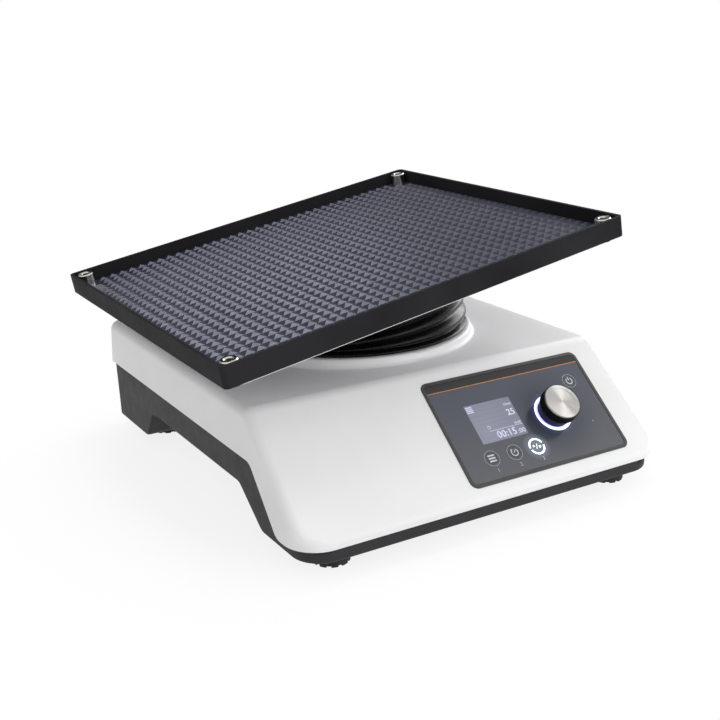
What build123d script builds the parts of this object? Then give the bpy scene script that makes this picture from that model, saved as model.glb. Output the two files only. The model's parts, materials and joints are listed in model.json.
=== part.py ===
from build123d import *
import os
from math import asin, cos, degrees, radians, sin, tan

# Rocking shaker for a laboratory bench, in millimetres, +Z up.
# A motor turns a rotor about a vertical axis. The rotor carries an inclined journal, and the
# platform hub sits on that journal without spinning, so the tray's tilt goes round.
# +X is the object's right, +Y its back. The origin is the bottom centre of the whole object.

# Swing of the platform
tilt_angle = 10.0
pivot_height = 102.0
tray_rise = 52.7

# Base housing
base_length = 365.0
waist_width = 320.0
waist_height = 61.2
nose_height = 20.8
shell_top = 96.8
shell_draft = 2.6
shell_wall = 3.0
shell_rounding = 7.4
shell_corner_front = 25.5
shell_corner_upper = 9.0
shell_corner_reach = 20.7
shell_corner_back = 16.0
front_slope = 40.0
slope_run = 84.9
crease_rounding = 14.0
step_top_run = 76.7
step_bottom_run = 35.5
step_rounding = 12.0
axis_from_back = 149.0

# Collar round the bellows
collar_height = 7.0
collar_bore = 98.0
collar_width = 8.5
collar_rounding = 2.5
collar_flare = 7.0

# Base pan
pan_waist_width = 316.0
pan_setback = 2.6
pan_draft = 1.46
pan_wall = 3.4
pan_floor = 2.6
pan_bottom = 10.2
pan_corner_front = 22.0
pan_corner_back = 13.0
pan_edge_rounding = 2.5
arch_height = 36.0
leg_run = 78.5
arch_back_run = 97.5
arch_front_run = 101.8
well_run = 69.0
arch_rounding = 10.0
lip_height = 5.0
lip_wall = 3.4
lip_gap = 0.2

# Feet
foot_radius = 13.5
foot_neck = 11.8
foot_tread = 5.5
foot_notches = 10
foot_notch_width = 3.4
foot_notch_height = 2.0
foot_notch_depth = 2.6
foot_spread = 125.8
foot_front_run = 25.5
foot_back_run = 44.5
foot_recess = 6.0
foot_recess_depth = 4.5
foot_boss = 7.0

# Fasteners: shank radius, head radius, head height
small_screw = (1.5, 2.8, 1.8)
medium_screw = (2.0, 3.8, 2.4)
large_screw = (2.5, 4.6, 3.0)
screw_gap = 0.05
boss_wall = 3.2
shell_boss_inset = 14.5
shell_boss_from_arch = 20.0

# Control panel, set in the slope
panel_width = 150.6
panel_height = 90.9
panel_corner = 6.0
panel_centre = 56.5
panel_from_crease = 10.7
panel_recess = 1.8
panel_ledge = 10.0
panel_fit = 0.15
frame_border = 2.6
frame_proud = 0.7
glass_thickness = 2.2
display_width = 42.5
display_height = 33.7
display_left = 27.15
display_up = 2.9
display_margin = 4.5
display_depth = 4.0
display_sunk = 0.2
key_pitch = 21.0
key_row_down = 26.0
key_row_left = 26.7
key_radius = 7.3
key_pad = 1.0
standby_right = 55.6
standby_up = 20.3
board_depth = 10.4
board_thickness = 1.6
board_margin = 2.2
spacer_radius = 3.0

# Knob with its light ring and encoder
knob_right = 24.0
knob_down = 2.9
knob_radius = 15.4
knob_foot = 12.6
knob_flare = 7.1
knob_edge = 0.4
knob_wall = 2.5
knob_taper = 0.2
knob_lift = 1.9
knob_height = 13.9
knob_cap_height = 1.7
knob_cap_inset = 0.8
knob_press = 1.0
ring_inner = 12.9
ring_outer = 15.7
ring_proud = 0.6
ring_flange = 2.0
ring_web = 1.2
encoder_width = 12.5
encoder_height = 6.5
bushing_radius = 4.6
shaft_radius = 3.0
shaft_length = 18.0
running_gap = 0.03

# Chassis
chassis_thickness = 3.0
chassis_width = 276.0
chassis_from_arch = 7.0
chassis_corner = 8.0
chassis_screw_side = 12.0
chassis_screw_end = 8.0

# Bearing housing and rotor, measured about the vertical axis
housing_flange = 40.0
housing_flange_height = 6.0
housing_barrel = 28.0
housing_height = 36.4
housing_bolt_circle = 34.0
main_bearing = (10.0, 21.0, 12.0)
housing_shoulder = 18.0
spindle_nut_radius = 15.0
spindle_nut_height = 3.0
spindle_reach = 3.4
pulley_seat = 12.0
shaft_shoulder = 14.0
pulley_web = 5.0
pulley_radius = 58.0
pulley_rim = 5.0
belt_width = 11.0
belt_thickness = 1.6
belt_gap = 0.3
pulley_flange = 1.2
pulley_flange_height = 0.8
crank_head = 22.0
crank_head_height = 12.0
head_gap = 0.3

# Counterweight
weight_inner = 25.0
weight_outer = 50.0
weight_height = 10.0
weight_angle = 120.0
weight_screw_circle = 37.5
web_hole_radius = 9.0
web_hole_circle = 35.5
web_hole_angles = (90, 180, 270)

# Inclined journal and platform hub, measured along the tilted axis from the pivot
journal_bearing = (12.5, 23.5, 12.0)
journal_start = 12.0
journal_gap = 6.0
journal_ring_height = 1.6
journal_ring_width = 3.0
hub_wall = 6.5
hub_flange = 56.0
hub_flange_height = 6.0
hub_bolt_circle = 46.0
hub_bolts = 6
hub_spacer_wall = 3.0
hub_ring_height = 1.2
hub_ring_depth = 0.8
hub_ring_wall = 2.2
fit_gap = 0.02

# Motor and its pulley
motor_offset = 94.5
motor_radius = 26.0
motor_length = 50.0
motor_cap = 3.0
motor_shaft_radius = 3.0
motor_pulley_radius = 11.6
motor_pulley_hub = 4.0
motor_bolt_circle = 18.0
bracket_width = 84.0
bracket_thickness = 3.0
bracket_top = 75.0
bracket_foot = 22.0
bracket_front_reach = 49.0
bracket_back_reach = 34.0
bracket_back_foot = 10.0
bracket_bolt_inset = 8.0

# Support plate, tray, mat and corner posts
plate_thickness = 3.0
plate_inset = 6.5
plate_corner = 12.0
tray_length = 352.0
tray_width = 316.0
tray_height = 16.7
tray_wall = 2.6
tray_floor = 3.0
tray_corner = 4.0
tray_edge_rounding = 0.9
mat_thickness = 4.5
mat_gap = 0.4
mat_corner = 1.5
stud_pitch = 14.0
stud_height = 2.2
post_inset = 11.0
post_radius = 6.6
post_below_rim = 0.5
post_chamfer = 0.8
thread_radius = 2.5
thread_depth = 7.5
thread_mouth = 1.2
post_screw_depth = 4.3

# Bellows and its clamps
bellows_crest = 103.8
bellows_valley = 97.7
bellows_wall = 2.4
bellows_ribs = 4
bellows_lip = 2.4
bellows_skirt = 5.5
bellows_squeeze = 2.3
bellows_spread = 0.15
bellows_lead = 1.6
bellows_neck = 6.0
seal_gap = 0.3
clamp_wall = 2.0
clamp_height = 4.5
band_width = 5.0
band_thickness = 1.0
ring_wall = 3.0
ring_foot = 7.0
ring_foot_height = 3.0
ring_bolts = 6

# Power supply
supply_width = 70.0
supply_length = 98.0
supply_height = 29.0
supply_gap = 1.5
supply_forward = 9.15
supply_slots = 7
terminal_depth = 12.0

# Mains inlet module on the rear wall
inlet_left = 95.0
inlet_height = 36.0
inlet_pad = 3.0
inlet_body_width = 64.0
inlet_body_height = 24.0
inlet_depth = 28.0
inlet_flange = 4.0
inlet_flange_thickness = 2.2
socket_width = 24.2
socket_height = 16.4
socket_depth = 17.0
socket_place = -16.0
blade_width = 2.0
blade_height = 4.0
blade_length = 14.0
blade_pitch = 7.0
drawer_place = 3.5
drawer_width = 9.0
drawer_height = 15.0
drawer_depth = 24.0
drawer_face = 1.6
fuse_radius = 2.5
fuse_length = 20.0
rocker_place = 20.0
rocker_width = 11.0
rocker_height = 18.0
rocker_depth = 6.0
rocker_angle = 10.0
module_gap = 0.3
vent_slots = 9
vent_pitch = 8.0
vent_width = 3.0
vent_height = 22.0
vent_left = 36.0

# Places worked out from the sizes above
tilt = radians(tilt_angle)
base_front = -base_length / 2
base_back = base_length / 2
axis_back = base_back - axis_from_back
tray_left = -tray_length / 2 * cos(tilt) - (tray_rise + tray_height) * sin(tilt)
tray_right = tray_length / 2 * cos(tilt) - tray_rise * sin(tilt)
shell_half = waist_width / 2 + (waist_height - nose_height) * tan(radians(shell_draft))
base_x = -(min(tray_left, -shell_half) + max(tray_right, shell_half)) / 2
base_y = -(base_front + max(base_back, axis_back + tray_width / 2)) / 2
floor_top = arch_height + pan_floor
well_top = pan_bottom + pan_floor
chassis_top = floor_top + chassis_thickness
crease_y = base_front + slope_run
leg_y = base_back - leg_run
arch_back_y = base_back - arch_back_run
arch_front_y = base_front + arch_front_run
well_y = base_front + well_run
chassis_front_y = arch_front_y + chassis_from_arch
chassis_back_y = arch_back_y - chassis_from_arch
slope = radians(front_slope)
collar_top = shell_top + collar_height
inner_top = shell_top - shell_wall

base_place = Pos(base_x, base_y, 0)
axis_place = Pos(base_x, base_y + axis_back, 0)
motor_place = Pos(base_x, base_y + axis_back + motor_offset, 0)
platform_place = Plane(
    origin=(base_x, base_y + axis_back, pivot_height),
    x_dir=(cos(tilt), 0, sin(tilt)),
    z_dir=(-sin(tilt), 0, cos(tilt)),
).location
panel_down = panel_from_crease + panel_height / 2
panel_place = Plane(
    origin=(
        base_x + panel_centre,
        base_y + crease_y - panel_down * cos(slope),
        shell_top - panel_down * sin(slope),
    ),
    x_dir=(1, 0, 0),
    z_dir=(0, -sin(slope), cos(slope)),
).location


# Shapes used by many pieces
def disc(radius, bottom, top):
    """A cylinder about Z between two heights."""
    return Pos(0, 0, (bottom + top) / 2) * Cylinder(radius, top - bottom)


def tube(outer, inner, bottom, top):
    """A ring about Z between two heights."""
    return disc(outer, bottom, top) - disc(inner, bottom - 1, top + 1)


def block(width, depth, bottom, top):
    """A box centred on Z between two heights."""
    return Pos(0, 0, (bottom + top) / 2) * Box(width, depth, top - bottom)


def slab(width, depth, bottom, top, corner):
    """A plate with rounded corners between two heights."""
    return extrude(Pos(0, 0, bottom) * RectangleRounded(width, depth, corner), amount=top - bottom)


def turned(outline):
    """A solid turned about Z from (radius, height) points."""
    return revolve(make_face(Polyline(*[(r, 0, z) for r, z in outline], close=True)), Axis.Z)


def screw(size, seat, tip):
    """A screw pointing down: its head sits on height seat and its shank ends at height tip."""
    shank, head, height = size
    outline = [(0, tip), (shank, tip), (shank, seat), (head, seat), (head, seat + height), (0, seat + height)]
    return turned(outline)


def flat_screw(size, face, tip):
    """A countersunk screw pointing down, its flat head level with height face."""
    shank, head, height = size
    outline = [(0, tip), (shank, tip), (shank, face - head + shank), (head, face), (0, face)]
    return turned(outline)


def sink(size, face, tip):
    """The countersunk hole for such a screw, with its small clearance."""
    shank, head, height = size
    bore = shank + screw_gap
    rim = head + 2 * screw_gap
    outline = [(0, tip), (bore, tip), (bore, face - rim + bore), (rim, face), (rim, face + 1), (0, face + 1)]
    return turned(outline)


def upside_down(shape):
    """The shape turned over about the X axis."""
    return Rot(180, 0, 0) * shape


def group(shapes):
    """Several separate solids kept in one piece."""
    return Compound([solid for shape in shapes for solid in shape.solids()])


def corners(half_x, half_y):
    """The four corners of a rectangle about the origin."""
    return [(sx * half_x, sy * half_y) for sx in (-1, 1) for sy in (-1, 1)]


def around(radius, count, start=0.0):
    """Points evenly spaced on a circle."""
    steps = [radians(start + 360 * i / count) for i in range(count)]
    return [(radius * cos(a), radius * sin(a)) for a in steps]


def side_region(points, radii, closing):
    """A face in the YZ plane: a rounded line through points, closed by straight lines."""
    curve = FilletPolyline(*[(0, y, z) for y, z in points], radius=radii)
    rest = Polyline(*[(0, y, z) for y, z in [points[-1]] + closing + [points[0]]])
    return make_face([*curve.edges(), *rest.edges()])


def across(face):
    """The face carried across the whole width of the base."""
    return extrude(face, amount=waist_width, both=True)


def plan(half, front, back, corner_front, corner_back):
    """A rectangle seen from above with its own radii at the front and the back."""
    face = Pos(0, (front + back) / 2) * Rectangle(2 * half, back - front)
    face = fillet(face.vertices().group_by(Axis.Y)[0], corner_front)
    return fillet(face.vertices().group_by(Axis.Y)[-1], corner_back)


def tilted_rim(form):
    """The edges round the top and the slope of a housing form."""
    upper = [face for face in form.faces() if face.normal_at(face.center()).Z > 0.3]
    return [
        edge
        for edge in form.edges()
        if sum(any(edge.is_same(other) for other in face.edges()) for face in upper) == 1
    ]


# Base housing: forms shared by the shell and the pan
far = base_length
below = -20.0


def shell_form(inset):
    """The closed outer form of the shell, with every face set in.

    Its front corners are cones, wide at the seam and tight where the slope begins.
    """
    spread = tan(radians(shell_draft))
    narrowing = (shell_corner_front - shell_corner_upper) / shell_corner_reach
    sections = [
        (0, shell_corner_front + narrowing * nose_height),
        (nose_height + shell_corner_reach, shell_corner_upper),
        (shell_top + shell_wall, shell_corner_upper),
    ]
    outlines = [
        Pos(0, 0, height)
        * plan(
            waist_width / 2 + (waist_height - height) * spread - inset,
            base_front - (nose_height - height) * spread + inset,
            base_back + (waist_height - height) * spread - inset,
            corner_front - inset,
            shell_corner_back - height * spread - inset,
        )
        for height, corner_front in sections
    ]
    body = loft(outlines, ruled=True)
    top = shell_top - inset
    crease = crease_y + inset * tan(slope / 2)
    foot = (base_front - slope_run, top - (crease - base_front + slope_run) * tan(slope))
    profile = side_region(
        [(far, top), (crease, top), foot],
        [crease_rounding - inset],
        [(foot[0], min(below, foot[1] - 1)), (far, min(below, foot[1] - 1))],
    )
    form = (body & across(profile)).solids()[0]
    return fillet(tilted_rim(form), max(shell_rounding - inset, 0.6))


def parting_line(drop):
    """The stepped seam between shell and pan, as points from back to front."""
    return [
        (far, waist_height + drop),
        (base_front + step_top_run, waist_height + drop),
        (base_front + step_bottom_run, nose_height + drop),
        (-far, nose_height + drop),
    ]


def above_parting(drop):
    """Everything above the seam."""
    return across(side_region(parting_line(drop), [step_rounding] * 2, [(-far, 2 * far), (far, 2 * far)]))


def below_parting(drop):
    """Everything below the seam."""
    return across(side_region(parting_line(drop), [step_rounding] * 2, [(-far, below), (far, below)]))


def above_underside(lift):
    """Everything above the pan's underside, or above its floor when lifted by its thickness."""
    rise = arch_height - pan_bottom
    lean_back = lift * tan(asin(rise / (rise**2 + (leg_y - arch_back_y) ** 2) ** 0.5) / 2)
    lean_front = lift * tan(asin(rise / (rise**2 + (arch_front_y - well_y) ** 2) ** 0.5) / 2)
    points = [
        (far, pan_bottom + lift),
        (leg_y + lean_back, pan_bottom + lift),
        (arch_back_y + lean_back, arch_height + lift),
        (arch_front_y - lean_front, arch_height + lift),
        (well_y - lean_front, pan_bottom + lift),
        (-far, pan_bottom + lift),
    ]
    radii = [arch_rounding + lift, arch_rounding - lift, arch_rounding - lift, arch_rounding + lift]
    return across(side_region(points, radii, [(-far, 2 * far), (far, 2 * far)]))


def pan_form(inset):
    """The closed outer form of the pan, which narrows towards the floor."""
    spread = tan(radians(pan_draft))
    back = base_back - (waist_width - pan_waist_width) / 2
    outline = plan(
        pan_waist_width / 2 - waist_height * spread - inset,
        back - base_length + pan_setback + waist_height * spread + inset,
        back - waist_height * spread - inset,
        pan_corner_front - inset,
        pan_corner_back - inset,
    )
    return extrude(outline, amount=waist_height + lip_height, taper=-pan_draft)


# Places of the fasteners that join the base
shell_boss_points = [
    (sx * (waist_width / 2 - shell_boss_inset), y)
    for y in (arch_front_y + shell_boss_from_arch, arch_back_y - shell_boss_from_arch)
    for sx in (-1, 1)
]
foot_points = [
    (sx * foot_spread, y) for y in (base_front + foot_front_run, base_back - foot_back_run) for sx in (-1, 1)
]
chassis_points = [
    (sx * (chassis_width / 2 - chassis_screw_side), y)
    for y in (chassis_front_y + chassis_screw_end, chassis_back_y - chassis_screw_end)
    for sx in (-1, 1)
]
boss_radius = medium_screw[0] + boss_wall
bellows_edge = collar_bore - seal_gap


def hole(size, bottom, top):
    """A screw hole with its small clearance."""
    return disc(size[0] + screw_gap, bottom, top)


def make_collar():
    """The raised ring that carries the bellows."""
    outer = collar_bore + collar_width
    edge = collar_rounding
    flare = collar_flare - 0.5
    root = shell_top - shell_wall + 0.2
    curve = FilletPolyline(
        (collar_bore - 1, 0, collar_top),
        (outer, 0, collar_top),
        (outer + 1.2, 0, shell_top - 0.2),
        (outer + 12, 0, shell_top - 0.2),
        radius=[edge, min(flare, collar_height - edge)],
    )
    rest = Polyline(
        (outer + 12, 0, shell_top - 0.2),
        (outer + 12, 0, root),
        (collar_bore - 1, 0, root),
        (collar_bore - 1, 0, collar_top),
    )
    return Pos(0, axis_back, 0) * revolve(make_face([*curve.edges(), *rest.edges()]), Axis.Z)


def make_top_shell():
    """White moulded housing with slope, collar, panel recess and screw bosses."""
    shell = (shell_form(0) - shell_form(shell_wall)) & above_parting(0)
    shell += make_collar()
    shell -= Pos(0, axis_back, 0) * disc(collar_bore, 0, 2 * shell_top)
    for x, y in shell_boss_points:
        shell += Pos(x, y, 0) * disc(boss_radius, floor_top, inner_top + shell_wall / 2)
        shell -= Pos(x, y, 0) * hole(medium_screw, floor_top - 1, waist_height)
    local = base_place.inverse() * panel_place
    wide, high = panel_width + 2 * panel_fit, panel_height + 2 * panel_fit
    shell -= local * slab(wide, high, -panel_recess, 5, panel_corner + panel_fit)
    window = slab(panel_width - 2 * panel_ledge, panel_height - 2 * panel_ledge, -20, 5, panel_corner)
    return base_place * (shell - local * window)


def make_base_pan():
    """Dark base pan with legs, lifting gap, lip, bosses, inlet pad and vents."""
    outer = (pan_form(0) & below_parting(0) & above_underside(0)).solids()[0]
    under = [edge for edge in outer.edges() if edge.center().Z < pan_bottom + 0.5]
    in_arch = [well_y - arch_rounding < edge.center().Y < leg_y + arch_rounding for edge in under]
    outer = fillet([edge for edge, inside in zip(under, in_arch) if not inside], pan_edge_rounding)
    pan = outer - (pan_form(pan_wall) & above_underside(pan_floor))
    outside = shell_wall + lip_gap
    lip = (shell_form(outside) - shell_form(outside + lip_wall)) & above_parting(0) & below_parting(lip_height)
    pan += lip
    pad_back = base_back - (waist_width - pan_waist_width) / 2 + 0.5
    pad_width = inlet_body_width + 4 * inlet_flange
    pad_height = inlet_body_height + 4 * inlet_flange
    pad = Box(pad_width, pan_wall + inlet_pad, pad_height)
    pan += Pos(-inlet_left, pad_back - (pan_wall + inlet_pad) / 2, inlet_height) * pad
    window = Box(inlet_body_width + module_gap, 6 * pan_wall, inlet_body_height + module_gap)
    pan -= Pos(-inlet_left, pad_back, inlet_height) * window
    for i in range(vent_slots):
        slot = Box(vent_width, 6 * pan_wall, vent_height)
        pan -= Pos(vent_left + i * vent_pitch, pad_back, inlet_height) * slot
    for x, y in foot_points:
        pan += Pos(x, y, 0) * disc(large_screw[0] + boss_wall, well_top - 1, well_top + foot_boss)
        pan -= Pos(x, y, 0) * hole(large_screw, 0, well_top + foot_boss + 1)
    for x, y in shell_boss_points:
        pan -= Pos(x, y, 0) * hole(medium_screw, 0, floor_top + 1)
    for x, y in chassis_points:
        pan -= Pos(x, y, 0) * hole(medium_screw, 0, floor_top + 1)
    return base_place * pan


def make_feet():
    """Four rubber feet with a notched tread."""
    foot = turned(
        [
            (0, 0),
            (foot_radius - 0.6, 0),
            (foot_radius, 0.6),
            (foot_radius, foot_tread),
            (foot_neck, foot_tread + 1.5),
            (foot_neck, pan_bottom),
            (0, pan_bottom),
        ]
    )
    foot -= disc(foot_recess, -1, foot_recess_depth)
    foot -= hole(large_screw, 0, pan_bottom + 1)
    notch = Box(2 * foot_notch_depth, foot_notch_width, 2 * foot_notch_height)
    for i in range(foot_notches):
        foot -= Rot(0, 0, 360 * (i + 0.5) / foot_notches) * Pos(foot_radius, 0, 0) * notch
    return base_place * group([Pos(x, y, 0) * foot for x, y in foot_points])


def make_foot_screws():
    """Screws that hold the feet, put in from below."""
    one = upside_down(screw(large_screw, -foot_recess_depth, -(well_top + foot_boss - 1)))
    return base_place * group([Pos(x, y, 0) * one for x, y in foot_points])


def make_shell_screws():
    """Screws that draw the shell down on to the pan, put in from below."""
    one = upside_down(screw(medium_screw, -arch_height, -(waist_height - 4)))
    return base_place * group([Pos(x, y, 0) * one for x, y in shell_boss_points])


def make_chassis_plate():
    """Steel plate that carries the drive and the power supply."""
    depth = chassis_back_y - chassis_front_y
    middle = (chassis_back_y + chassis_front_y) / 2
    plate = Pos(0, middle, 0) * slab(chassis_width, depth, floor_top, chassis_top, chassis_corner)
    for x, y in chassis_points:
        plate -= Pos(x, y, 0) * hole(medium_screw, 0, shell_top)
    for x, y in around(housing_bolt_circle, 4, 45):
        plate -= Pos(x, y + axis_back, 0) * hole(medium_screw, 0, shell_top)
    for sx in (-1, 1):
        plate -= Pos(sx * bracket_bolt_half, bracket_bolt_y, 0) * hole(medium_screw, 0, shell_top)
    plate = base_place * plate
    for x, y in supply_screw_points:
        plate -= supply_place * Pos(x, y, 0) * upside_down(sink(small_screw, -floor_top, -shell_top))
    return plate


def make_chassis_screws():
    """Screws through the chassis plate into the pan."""
    one = screw(medium_screw, chassis_top, arch_height + 0.4)
    return base_place * group([Pos(x, y, 0) * one for x, y in chassis_points])


# Bearing housing and rotor
housing_base = chassis_top
housing_top = housing_base + housing_height
bearing_bore, bearing_rim, bearing_height = main_bearing
lower_bearing = housing_base + housing_flange_height + 1.0
upper_bearing = housing_top - bearing_height
seat_bottom = housing_top + 0.3
pulley_bottom = seat_bottom + 1.5
belt_bottom = pulley_bottom + pulley_flange_height
belt_top = belt_bottom + belt_width
head_bottom = pulley_bottom + pulley_web + head_gap
head_top = head_bottom + crank_head_height


def bearing(size, bottom):
    """A sealed ball bearing: two rings with a recessed seal between them."""
    bore, rim, height = size
    third = (rim - bore) / 3
    top = bottom + height
    return turned(
        [
            (bore + fit_gap, bottom),
            (bore + third, bottom),
            (bore + third, bottom + 0.7),
            (rim - third, bottom + 0.7),
            (rim - third, bottom),
            (rim - fit_gap, bottom),
            (rim - fit_gap, top),
            (rim - third, top),
            (rim - third, top - 0.7),
            (bore + third, top - 0.7),
            (bore + third, top),
            (bore + fit_gap, top),
        ]
    )


def make_bearing_housing():
    """Flanged housing with a seat for a bearing at each end."""
    housing = disc(housing_flange, housing_base, housing_base + housing_flange_height)
    housing += disc(housing_barrel, housing_base, housing_top)
    housing -= disc(housing_shoulder, housing_base - 1, housing_top + 1)
    housing -= disc(bearing_rim, lower_bearing, lower_bearing + bearing_height)
    housing -= disc(bearing_rim, upper_bearing, housing_top + 1)
    for x, y in around(housing_bolt_circle, 4, 45):
        housing -= Pos(x, y, 0) * hole(medium_screw, 0, shell_top)
    return axis_place * housing


def make_housing_screws():
    """Screws through the housing's flange into the chassis plate."""
    one = screw(medium_screw, housing_base + housing_flange_height, floor_top + 0.3)
    return axis_place * group([Pos(x, y, 0) * one for x, y in around(housing_bolt_circle, 4, 45)])


def make_main_bearings():
    """The two bearings of the vertical shaft."""
    return axis_place * group([bearing(main_bearing, z) for z in (lower_bearing, upper_bearing)])


def make_rotor_shaft():
    """Vertical shaft with a crank head and the inclined journal in one piece."""
    tip = lower_bearing - spindle_reach
    shaft = turned(
        [
            (0, tip),
            (bearing_bore, tip),
            (bearing_bore, seat_bottom - 0.3 + fit_gap),
            (shaft_shoulder, seat_bottom - 0.3 + fit_gap),
            (shaft_shoulder, pulley_bottom - fit_gap),
            (pulley_seat, pulley_bottom - fit_gap),
            (pulley_seat, head_bottom),
            (crank_head, head_bottom),
            (crank_head, head_top - 2),
            (crank_head - 2, head_top),
            (0, head_top),
        ]
    )
    bore = journal_bearing[0]
    local = Pos(0, 0, pivot_height) * Rot(0, -tilt_angle, 0)
    shaft += local * disc(bore, head_bottom + 3 - pivot_height, journal_end)
    shaft += local * disc(bore + 3, head_bottom + 5 - pivot_height, journal_start - fit_gap)
    return axis_place * shaft


def make_spindle_nut():
    """Nut that holds the lower bearing on the shaft."""
    top = lower_bearing - fit_gap
    nut = extrude(Pos(0, 0, top - spindle_nut_height) * RegularPolygon(spindle_nut_radius, 6), amount=spindle_nut_height)
    return axis_place * (nut - disc(bearing_bore + fit_gap, 0, shell_top))


def make_drive_pulley():
    """Large flanged pulley with a spoked web, fixed on the rotor shaft."""
    rim_inner = pulley_radius - pulley_rim
    top = belt_top + pulley_flange_height
    rim = turned(
        [
            (rim_inner, pulley_bottom),
            (pulley_radius + pulley_flange, pulley_bottom),
            (pulley_radius + pulley_flange, belt_bottom - 0.1),
            (pulley_radius, belt_bottom - 0.1),
            (pulley_radius, belt_top + 0.1),
            (pulley_radius + pulley_flange, belt_top + 0.1),
            (pulley_radius + pulley_flange, top),
            (rim_inner, top),
        ]
    )
    web = disc(rim_inner + 1, pulley_bottom, pulley_bottom + pulley_web)
    for angle in web_hole_angles:
        web -= Rot(0, 0, angle) * Pos(web_hole_circle, 0, 0) * disc(web_hole_radius, 0, shell_top)
    for x, y in weight_screw_points:
        web -= Pos(x, y, 0) * hole(medium_screw, 0, shell_top)
    return axis_place * (rim + web - disc(pulley_seat + fit_gap, 0, shell_top))


weight_bottom = pulley_bottom + pulley_web
weight_screw_points = [
    (weight_screw_circle * cos(radians(a)), weight_screw_circle * sin(radians(a)))
    for a in (-weight_angle / 3, weight_angle / 3)
]


def make_counterweight():
    """Steel sector on the pulley, opposite the low side of the tray."""
    sector = revolve(
        make_face(
            Polyline(
                (weight_inner, 0, weight_bottom),
                (weight_outer, 0, weight_bottom),
                (weight_outer, 0, weight_bottom + weight_height),
                (weight_inner, 0, weight_bottom + weight_height),
                close=True,
            )
        ),
        Axis.Z,
        revolution_arc=weight_angle,
    )
    sector = Rot(0, 0, -weight_angle / 2) * sector
    for x, y in weight_screw_points:
        sector -= Pos(x, y, 0) * hole(medium_screw, 0, shell_top * 2)
    return axis_place * sector


def make_counterweight_screws():
    """Screws from the top through the counterweight into the pulley's web."""
    one = screw(medium_screw, weight_bottom + weight_height, pulley_bottom + 0.5)
    return axis_place * group([Pos(x, y, 0) * one for x, y in weight_screw_points])


# Motor drive
def belt_outline(extra):
    """Flat outline of the belt round both pulleys, at a distance from their rims."""
    large, small = pulley_radius + extra, motor_pulley_radius + extra
    lean = asin((large - small) / motor_offset)
    flats = [
        (large * cos(lean), large * sin(lean)),
        (small * cos(lean), motor_offset + small * sin(lean)),
        (-small * cos(lean), motor_offset + small * sin(lean)),
        (-large * cos(lean), large * sin(lean)),
    ]
    return Circle(large) + Pos(0, motor_offset) * Circle(small) + make_face(Polyline(*flats, close=True))


def make_drive_belt():
    """Flat belt from the motor pulley to the drive pulley."""
    loop = belt_outline(belt_gap + belt_thickness) - belt_outline(belt_gap)
    return axis_place * extrude(Pos(0, 0, belt_bottom) * loop, amount=belt_width)


def make_motor():
    """Motor body with a front cap, hung under its bracket."""
    top = bracket_top - bracket_thickness
    body = turned(
        [
            (0, top - motor_length),
            (motor_radius - 3, top - motor_length),
            (motor_radius - 1, top - motor_length + 2),
            (motor_radius - 1, top - motor_cap * 2),
            (motor_radius, top - motor_cap * 2),
            (motor_radius, top),
            (motor_shaft_radius + 5, top),
            (motor_shaft_radius + 5, bracket_top + 0.5),
            (motor_shaft_radius + running_gap, bracket_top + 0.5),
            (motor_shaft_radius + running_gap, top - motor_length / 2),
            (0, top - motor_length / 2),
        ]
    )
    for x, y in around(motor_bolt_circle, 4, 45):
        body -= Pos(x, y, 0) * hole(small_screw, top - 5, top + 1)
    return motor_place * body


def make_motor_bracket():
    """Bent sheet bracket that stands on the chassis plate and in the rear of the pan."""
    t = bracket_thickness
    centre = axis_back + motor_offset
    front, back = centre - bracket_front_reach - t, centre + bracket_back_reach
    outline = [
        (front - bracket_foot, chassis_top),
        (front + t, chassis_top),
        (front + t, bracket_top - t),
        (back - t, bracket_top - t),
        (back - t, well_top),
        (back + bracket_back_foot, well_top),
        (back + bracket_back_foot, well_top + t),
        (back, well_top + t),
        (back, bracket_top),
        (front, bracket_top),
        (front, chassis_top + t),
        (front - bracket_foot, chassis_top + t),
    ]
    sheet = make_face(Polyline(*[(0, y, z) for y, z in outline], close=True))
    bracket = extrude(sheet, amount=bracket_width / 2, both=True)
    bracket -= Pos(0, axis_back, 0) * disc(housing_flange + 1, 0, bracket_top - 2 * t)
    bracket -= Pos(0, centre, 0) * disc(motor_shaft_radius + 5 + screw_gap, bracket_top - 2 * t, shell_top)
    for x, y in around(motor_bolt_circle, 4, 45):
        bracket -= Pos(x, centre + y, 0) * hole(small_screw, bracket_top - 2 * t, shell_top)
    for sx in (-1, 1):
        bracket -= Pos(sx * bracket_bolt_half, bracket_bolt_y, 0) * hole(medium_screw, 0, chassis_top + 2 * t)
    return base_place * bracket


bracket_bolt_half = bracket_width / 2 - bracket_bolt_inset
bracket_bolt_y = axis_back + motor_offset - bracket_front_reach - bracket_thickness - bracket_foot / 2


def make_bracket_screws():
    """Screws through the bracket's foot into the chassis plate."""
    one = screw(medium_screw, chassis_top + bracket_thickness, floor_top + 0.3)
    return base_place * group([Pos(sx * bracket_bolt_half, bracket_bolt_y, 0) * one for sx in (-1, 1)])


def make_motor_screws():
    """Screws through the bracket into the motor's front cap."""
    one = screw(small_screw, bracket_top, bracket_top - bracket_thickness - 4.5)
    return motor_place * group([Pos(x, y, 0) * one for x, y in around(motor_bolt_circle, 4, 45)])


def make_motor_shaft():
    """Shaft of the motor."""
    middle = bracket_top - bracket_thickness - motor_length / 2
    return motor_place * disc(motor_shaft_radius, middle + running_gap, belt_top + pulley_flange_height)


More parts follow.
